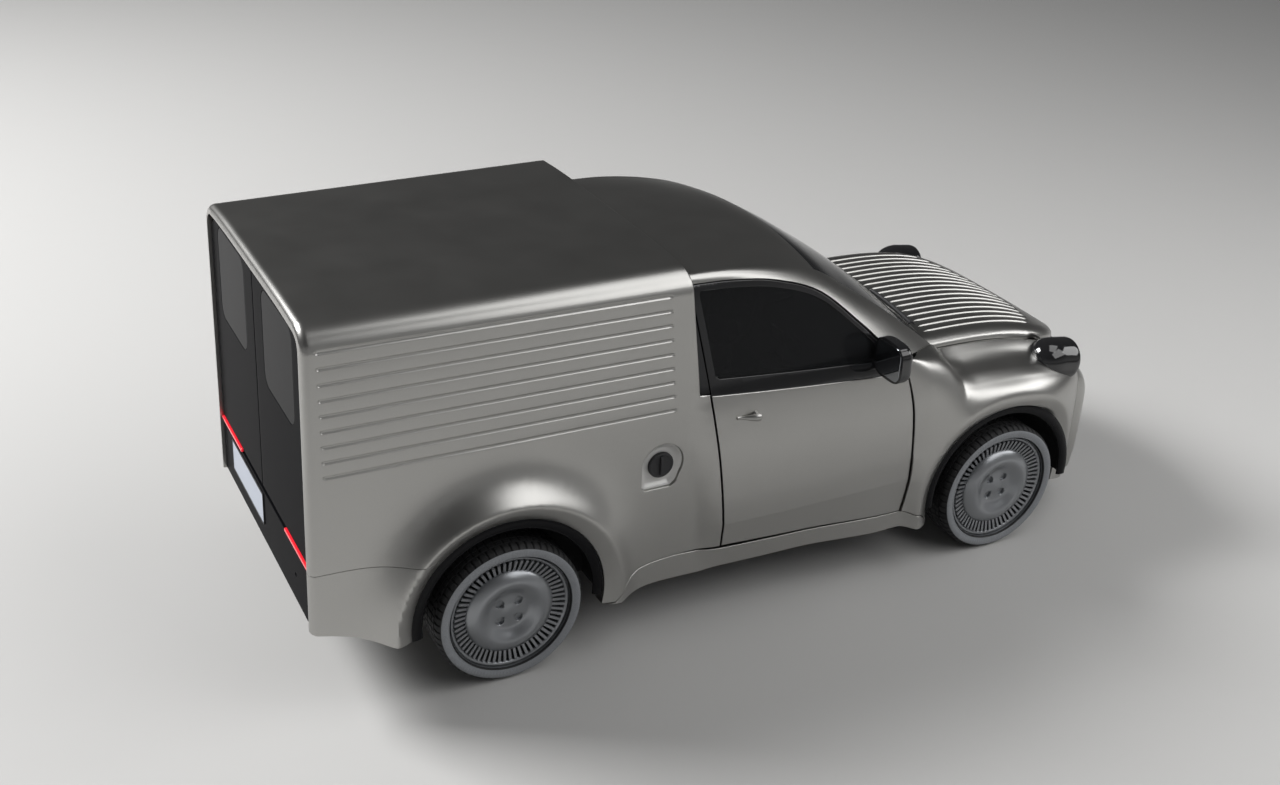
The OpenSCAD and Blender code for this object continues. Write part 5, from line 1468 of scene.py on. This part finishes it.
for k, y in enumerate((-560.0, -80.0, 70.0, 560.0)):
    face = lambda lift, y=y: (lambda a, z: stack(DASH_X - lift, a + y, z))
    fit(panel(f"vent_frame_{k}", [vent_frame, vent_hole], grid_points([-200], [0]), face(6), face(-8),
              gloss_black, 2.0, 8.0), "body", "black_plastic", "dashboard")
    fit(new_object(f"vent_louvres_{k}", vent_bars[0] + np.array([0, y, 0]), vent_bars[1], trim_plastic),
        "body", "black_plastic", "dashboard")
knob_loop = [(0, 26), (9, 26), (12.5, 24), (14, 20), (15, 6), (19, 2), (19, -8), (0, -8)]
for k, y in enumerate((-70.0, -5.0, 60.0)):
    v, f = lathe(knob_loop, 40)
    v = np.stack([506 - v[:, 2], y + v[:, 0], 790 + v[:, 1]], 1)
    fit(new_object(f"heater_knob_{k}", v, f, gloss_black, 40.0), "body", "black_plastic", "dashboard")


# STEERING WHEEL
# A cast ring wrapped in grained vinyl, with a padded hub on three spokes. The column stands in a split
# plastic shroud that is screwed to the dashboard.
WHEEL_AT, RAKE = np.array([FA - 850, 360.0, 905.0]), math.radians(118)
rake = np.array([[math.cos(RAKE), 0, math.sin(RAKE)], [0, 1, 0], [-math.sin(RAKE), 0, math.cos(RAKE)]])
vinyl = finish_of("wheel_vinyl", (0.016, 0.016, 0.017), 0.0, 0.48, 0.0, 0.2, 520.0, 0.3)
grip = np.array([(178 + 14.5 * math.cos(t), 14.5 * math.sin(t)) for t in around(24)])
ring_v, ring_f = lathe(grip, 120)
hub_v, hub_f = lathe([(0, -18), (34, -17.5), (50, -14), (59, -7), (62, 2), (58, 10), (40, 12), (0, 12)], 64)
shroud_v, shroud_f = lathe([(0, 12), (30, 12), (33, 18), (36, 60), (38, 100), (38, 148), (0, 148)], 48)
for part, v, f in (("ring", ring_v, ring_f), ("hub", hub_v, hub_f), ("shroud", shroud_v, shroud_f)):
    fit(new_object("steering_" + part, v @ rake.T + WHEEL_AT, f, vinyl, 50.0), "body", "black_plastic",
        "steering_wheel")
for k, a in enumerate(np.radians([60, 180, 300])):
    spoke = []
    for u in np.linspace(0, 1, 9):
        wide, thick = 17 - 9 * math.sin(math.pi * u * 0.5), 7.0
        local = [(48 + 122 * u, wide * math.cos(t), thick * math.sin(t)) for t in around(18)]
        spoke.append([(x * math.cos(a) - y * math.sin(a), x * math.sin(a) + y * math.cos(a), z)
                      for x, y, z in local])
    v, f = tube_mesh(np.array(spoke))
    fit(new_object(f"steering_spoke_{k}", v @ rake.T + WHEEL_AT, f, vinyl, 50.0), "body", "black_plastic",
        "steering_wheel")


# DOOR TRIM BOARDS
# A grained board with an arm rest and a map pocket moulded into it, pressed on to the inside of each door
# with hidden clips. A cloth insert is bonded into its upper half.
def board_depth(x, z):
    rest = ease((x + 262) / 40) * ease((330 - x) / 60) * np.exp(-(((z - 742) / 34) ** 4))
    pocket = ease((x + 150) / 40) * ease((420 - x) / 60) * ease((z - 428) / 16) * ease((560 - z) / 12)
    return DOOR_T + 13 + 46 * rest + 24 * pocket


board_line = inset(resample(cut_loop(door_edge, lambda x: strip_low(x) - 34, False), 30.0), 46.0)
board_pts = grid_points(np.arange(RA + 900, FA - 560, 14.0), np.arange(380, 1110, 11.0))
for side, name in ((1, "door_left"), (-1, "door_right")):
    turn_side = (lambda f: f) if side > 0 else mirrored
    board = panel(name + "_board", [board_line], board_pts,
                  turn_side(lambda x, z: stack(x, cab_half(x, z) - board_depth(x, z), z)),
                  turn_side(door_skin(DOOR_T - 1)), trim_plastic, 6.0, 20.0)
    board.data.materials.append(seat_cloth)
    for face in board.data.polygons:
        c = face.center * 1000
        face.material_index = int(800 < c.z < 1010 and -210 < c.x < 360)
    fit(board, name, "black_plastic")


# CHASSIS, POWER UNIT AND FLOORS
# Folded and welded steel under sprayed sealer, a ribbed load floor, cast axle and engine parts and an
# aluminised exhaust. These keep the shapes of the frame and get the finish of the real metal.
under_seal = finish_of("under_seal", (0.02, 0.02, 0.021), 0.0, 0.82, 0.0, 0.3, 160.0, 0.6)
floor_steel = finish_of("floor_steel", (0.2, 0.2, 0.195), 0.5, 0.5, 0.0, 0.12, 60.0, 0.15)
cast_metal = finish_of("cast_metal", (0.26, 0.26, 0.265), 0.75, 0.55, 0.0, 0.2, 300.0, 0.5)
dull_pipe = finish_of("aluminised_steel", (0.3, 0.295, 0.285), 0.85, 0.42, 0.0, 0.15, 120.0, 0.1)
liner_felt = finish_of("arch_liner", (0.013, 0.013, 0.014), 0.0, 0.9, 0.0, 0.3, 420.0, 0.5)
kept = {"floor_pan": under_seal, "load_floor": floor_steel, "bulkhead": floor_steel,
        "subframe": under_seal, "engine": cast_metal, "rear_axle": under_seal, "fuel_tank": under_seal,
        "exhaust": dull_pipe, "knuckle_left": cast_metal, "knuckle_right": cast_metal,
        "arch_liners": liner_felt, "grille": trim_plastic}
for node, finish in kept.items():
    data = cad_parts[node].data
    data.materials.clear()
    data.materials.append(finish)


# STAGE, LIGHT AND CAMERA
# A pale seamless floor under soft light. The camera stands where the photograph was taken from.
scene = bpy.context.scene
scene.view_settings.view_transform = "Standard"
floor_mesh = bpy.data.meshes.new("floor")
floor_mesh.from_pydata([(-60, -60, 0), (60, -60, 0), (60, 60, 0), (-60, 60, 0)], [], [(0, 1, 2, 3)])
floor = bpy.data.objects.new("floor", floor_mesh)
scene.collection.objects.link(floor)
floor_mesh.materials.append(finish_of("studio_floor", (0.52, 0.515, 0.505), 0.0, 0.8))


def soft_lamp(name, place, aim, size, power, colour=(1, 1, 1)):
    data = bpy.data.lights.new(name, "AREA")
    data.shape = "RECTANGLE"
    data.size, data.size_y = size
    data.energy = power
    data.color = colour
    lamp = bpy.data.objects.new(name, data)
    lamp.location = place
    lamp.rotation_euler = (Vector(aim) - Vector(place)).to_track_quat("-Z", "Y").to_euler()
    scene.collection.objects.link(lamp)


soft_lamp("key", (-10.0, 7.5, 11.0), (0, 0, 0.6), (6, 6), 3400)
soft_lamp("fill", (4.4, -6.6, 6.6), (0, -0.6, 0.8), (7, 4.6), 225)
soft_lamp("over", (3.4, -2.6, 9.0), (0, -0.4, 0.8), (6, 4), 160)
soft_lamp("front", (8.0, -3.2, 4.6), (0.8, -0.3, 0.9), (4, 3), 125)
world = bpy.data.worlds.new("studio")
world.use_nodes = True
scene.world = world
nt = world.node_tree
paths = nt.nodes.new("ShaderNodeLightPath")
tone = nt.nodes.new("ShaderNodeMix")
tone.data_type = "RGBA"
tone.inputs[6].default_value = (0.12, 0.122, 0.125, 1)
seen = nt.nodes.new("ShaderNodeTexCoord")
axes = nt.nodes.new("ShaderNodeSeparateXYZ")
nt.links.new(seen.outputs["Generated"], axes.inputs["Vector"])


def fading(start, stop):
    node = nt.nodes.new("ShaderNodeMapRange")
    for label, value in zip(("From Min", "From Max", "To Min", "To Max"), (start, stop, 1.0, 0.0)):
        node.inputs[label].default_value = value
    return node


low_band = fading(0.1, 0.42)
near_side = fading(-0.6, -0.1)
nt.links.new(axes.outputs["Z"], low_band.inputs["Value"])
nt.links.new(axes.outputs["Y"], near_side.inputs["Value"])
band = nt.nodes.new("ShaderNodeMath")
band.operation = "MULTIPLY"
nt.links.new(low_band.outputs["Result"], band.inputs[0])
nt.links.new(near_side.outputs["Result"], band.inputs[1])
glow = nt.nodes.new("ShaderNodeMapRange")
glow.inputs["To Min"].default_value = 0.05
glow.inputs["To Max"].default_value = 0.3
nt.links.new(band.outputs["Value"], glow.inputs["Value"])
nt.links.new(glow.outputs["Result"], tone.inputs[7])
nt.links.new(paths.outputs["Is Glossy Ray"], tone.inputs[0])
nt.links.new(tone.outputs[2], nt.nodes["Background"].inputs["Color"])
nt.nodes["Background"].inputs["Strength"].default_value = 1.0

AZ, EL, ROLL = math.radians(-28.266), math.radians(27.347), math.radians(2.564)
look = Vector((-math.sin(AZ) * math.cos(EL), math.cos(AZ) * math.cos(EL), -math.sin(EL)))
across = Vector((math.cos(AZ), math.sin(AZ), 0))
upward = across.cross(look)
right_axis = across * math.cos(ROLL) + upward * math.sin(ROLL)
up_axis = upward * math.cos(ROLL) - across * math.sin(ROLL)
cam_data = bpy.data.cameras.new("camera")
cam_data.sensor_width, cam_data.lens = 36.0, 42.75
camera = bpy.data.objects.new("camera", cam_data)
turn = Matrix((right_axis, up_axis, -look)).transposed().to_4x4()
camera.matrix_world = Matrix.Translation((-3.273, -5.583, 4.035)) @ turn
scene.collection.objects.link(camera)
scene.camera = camera
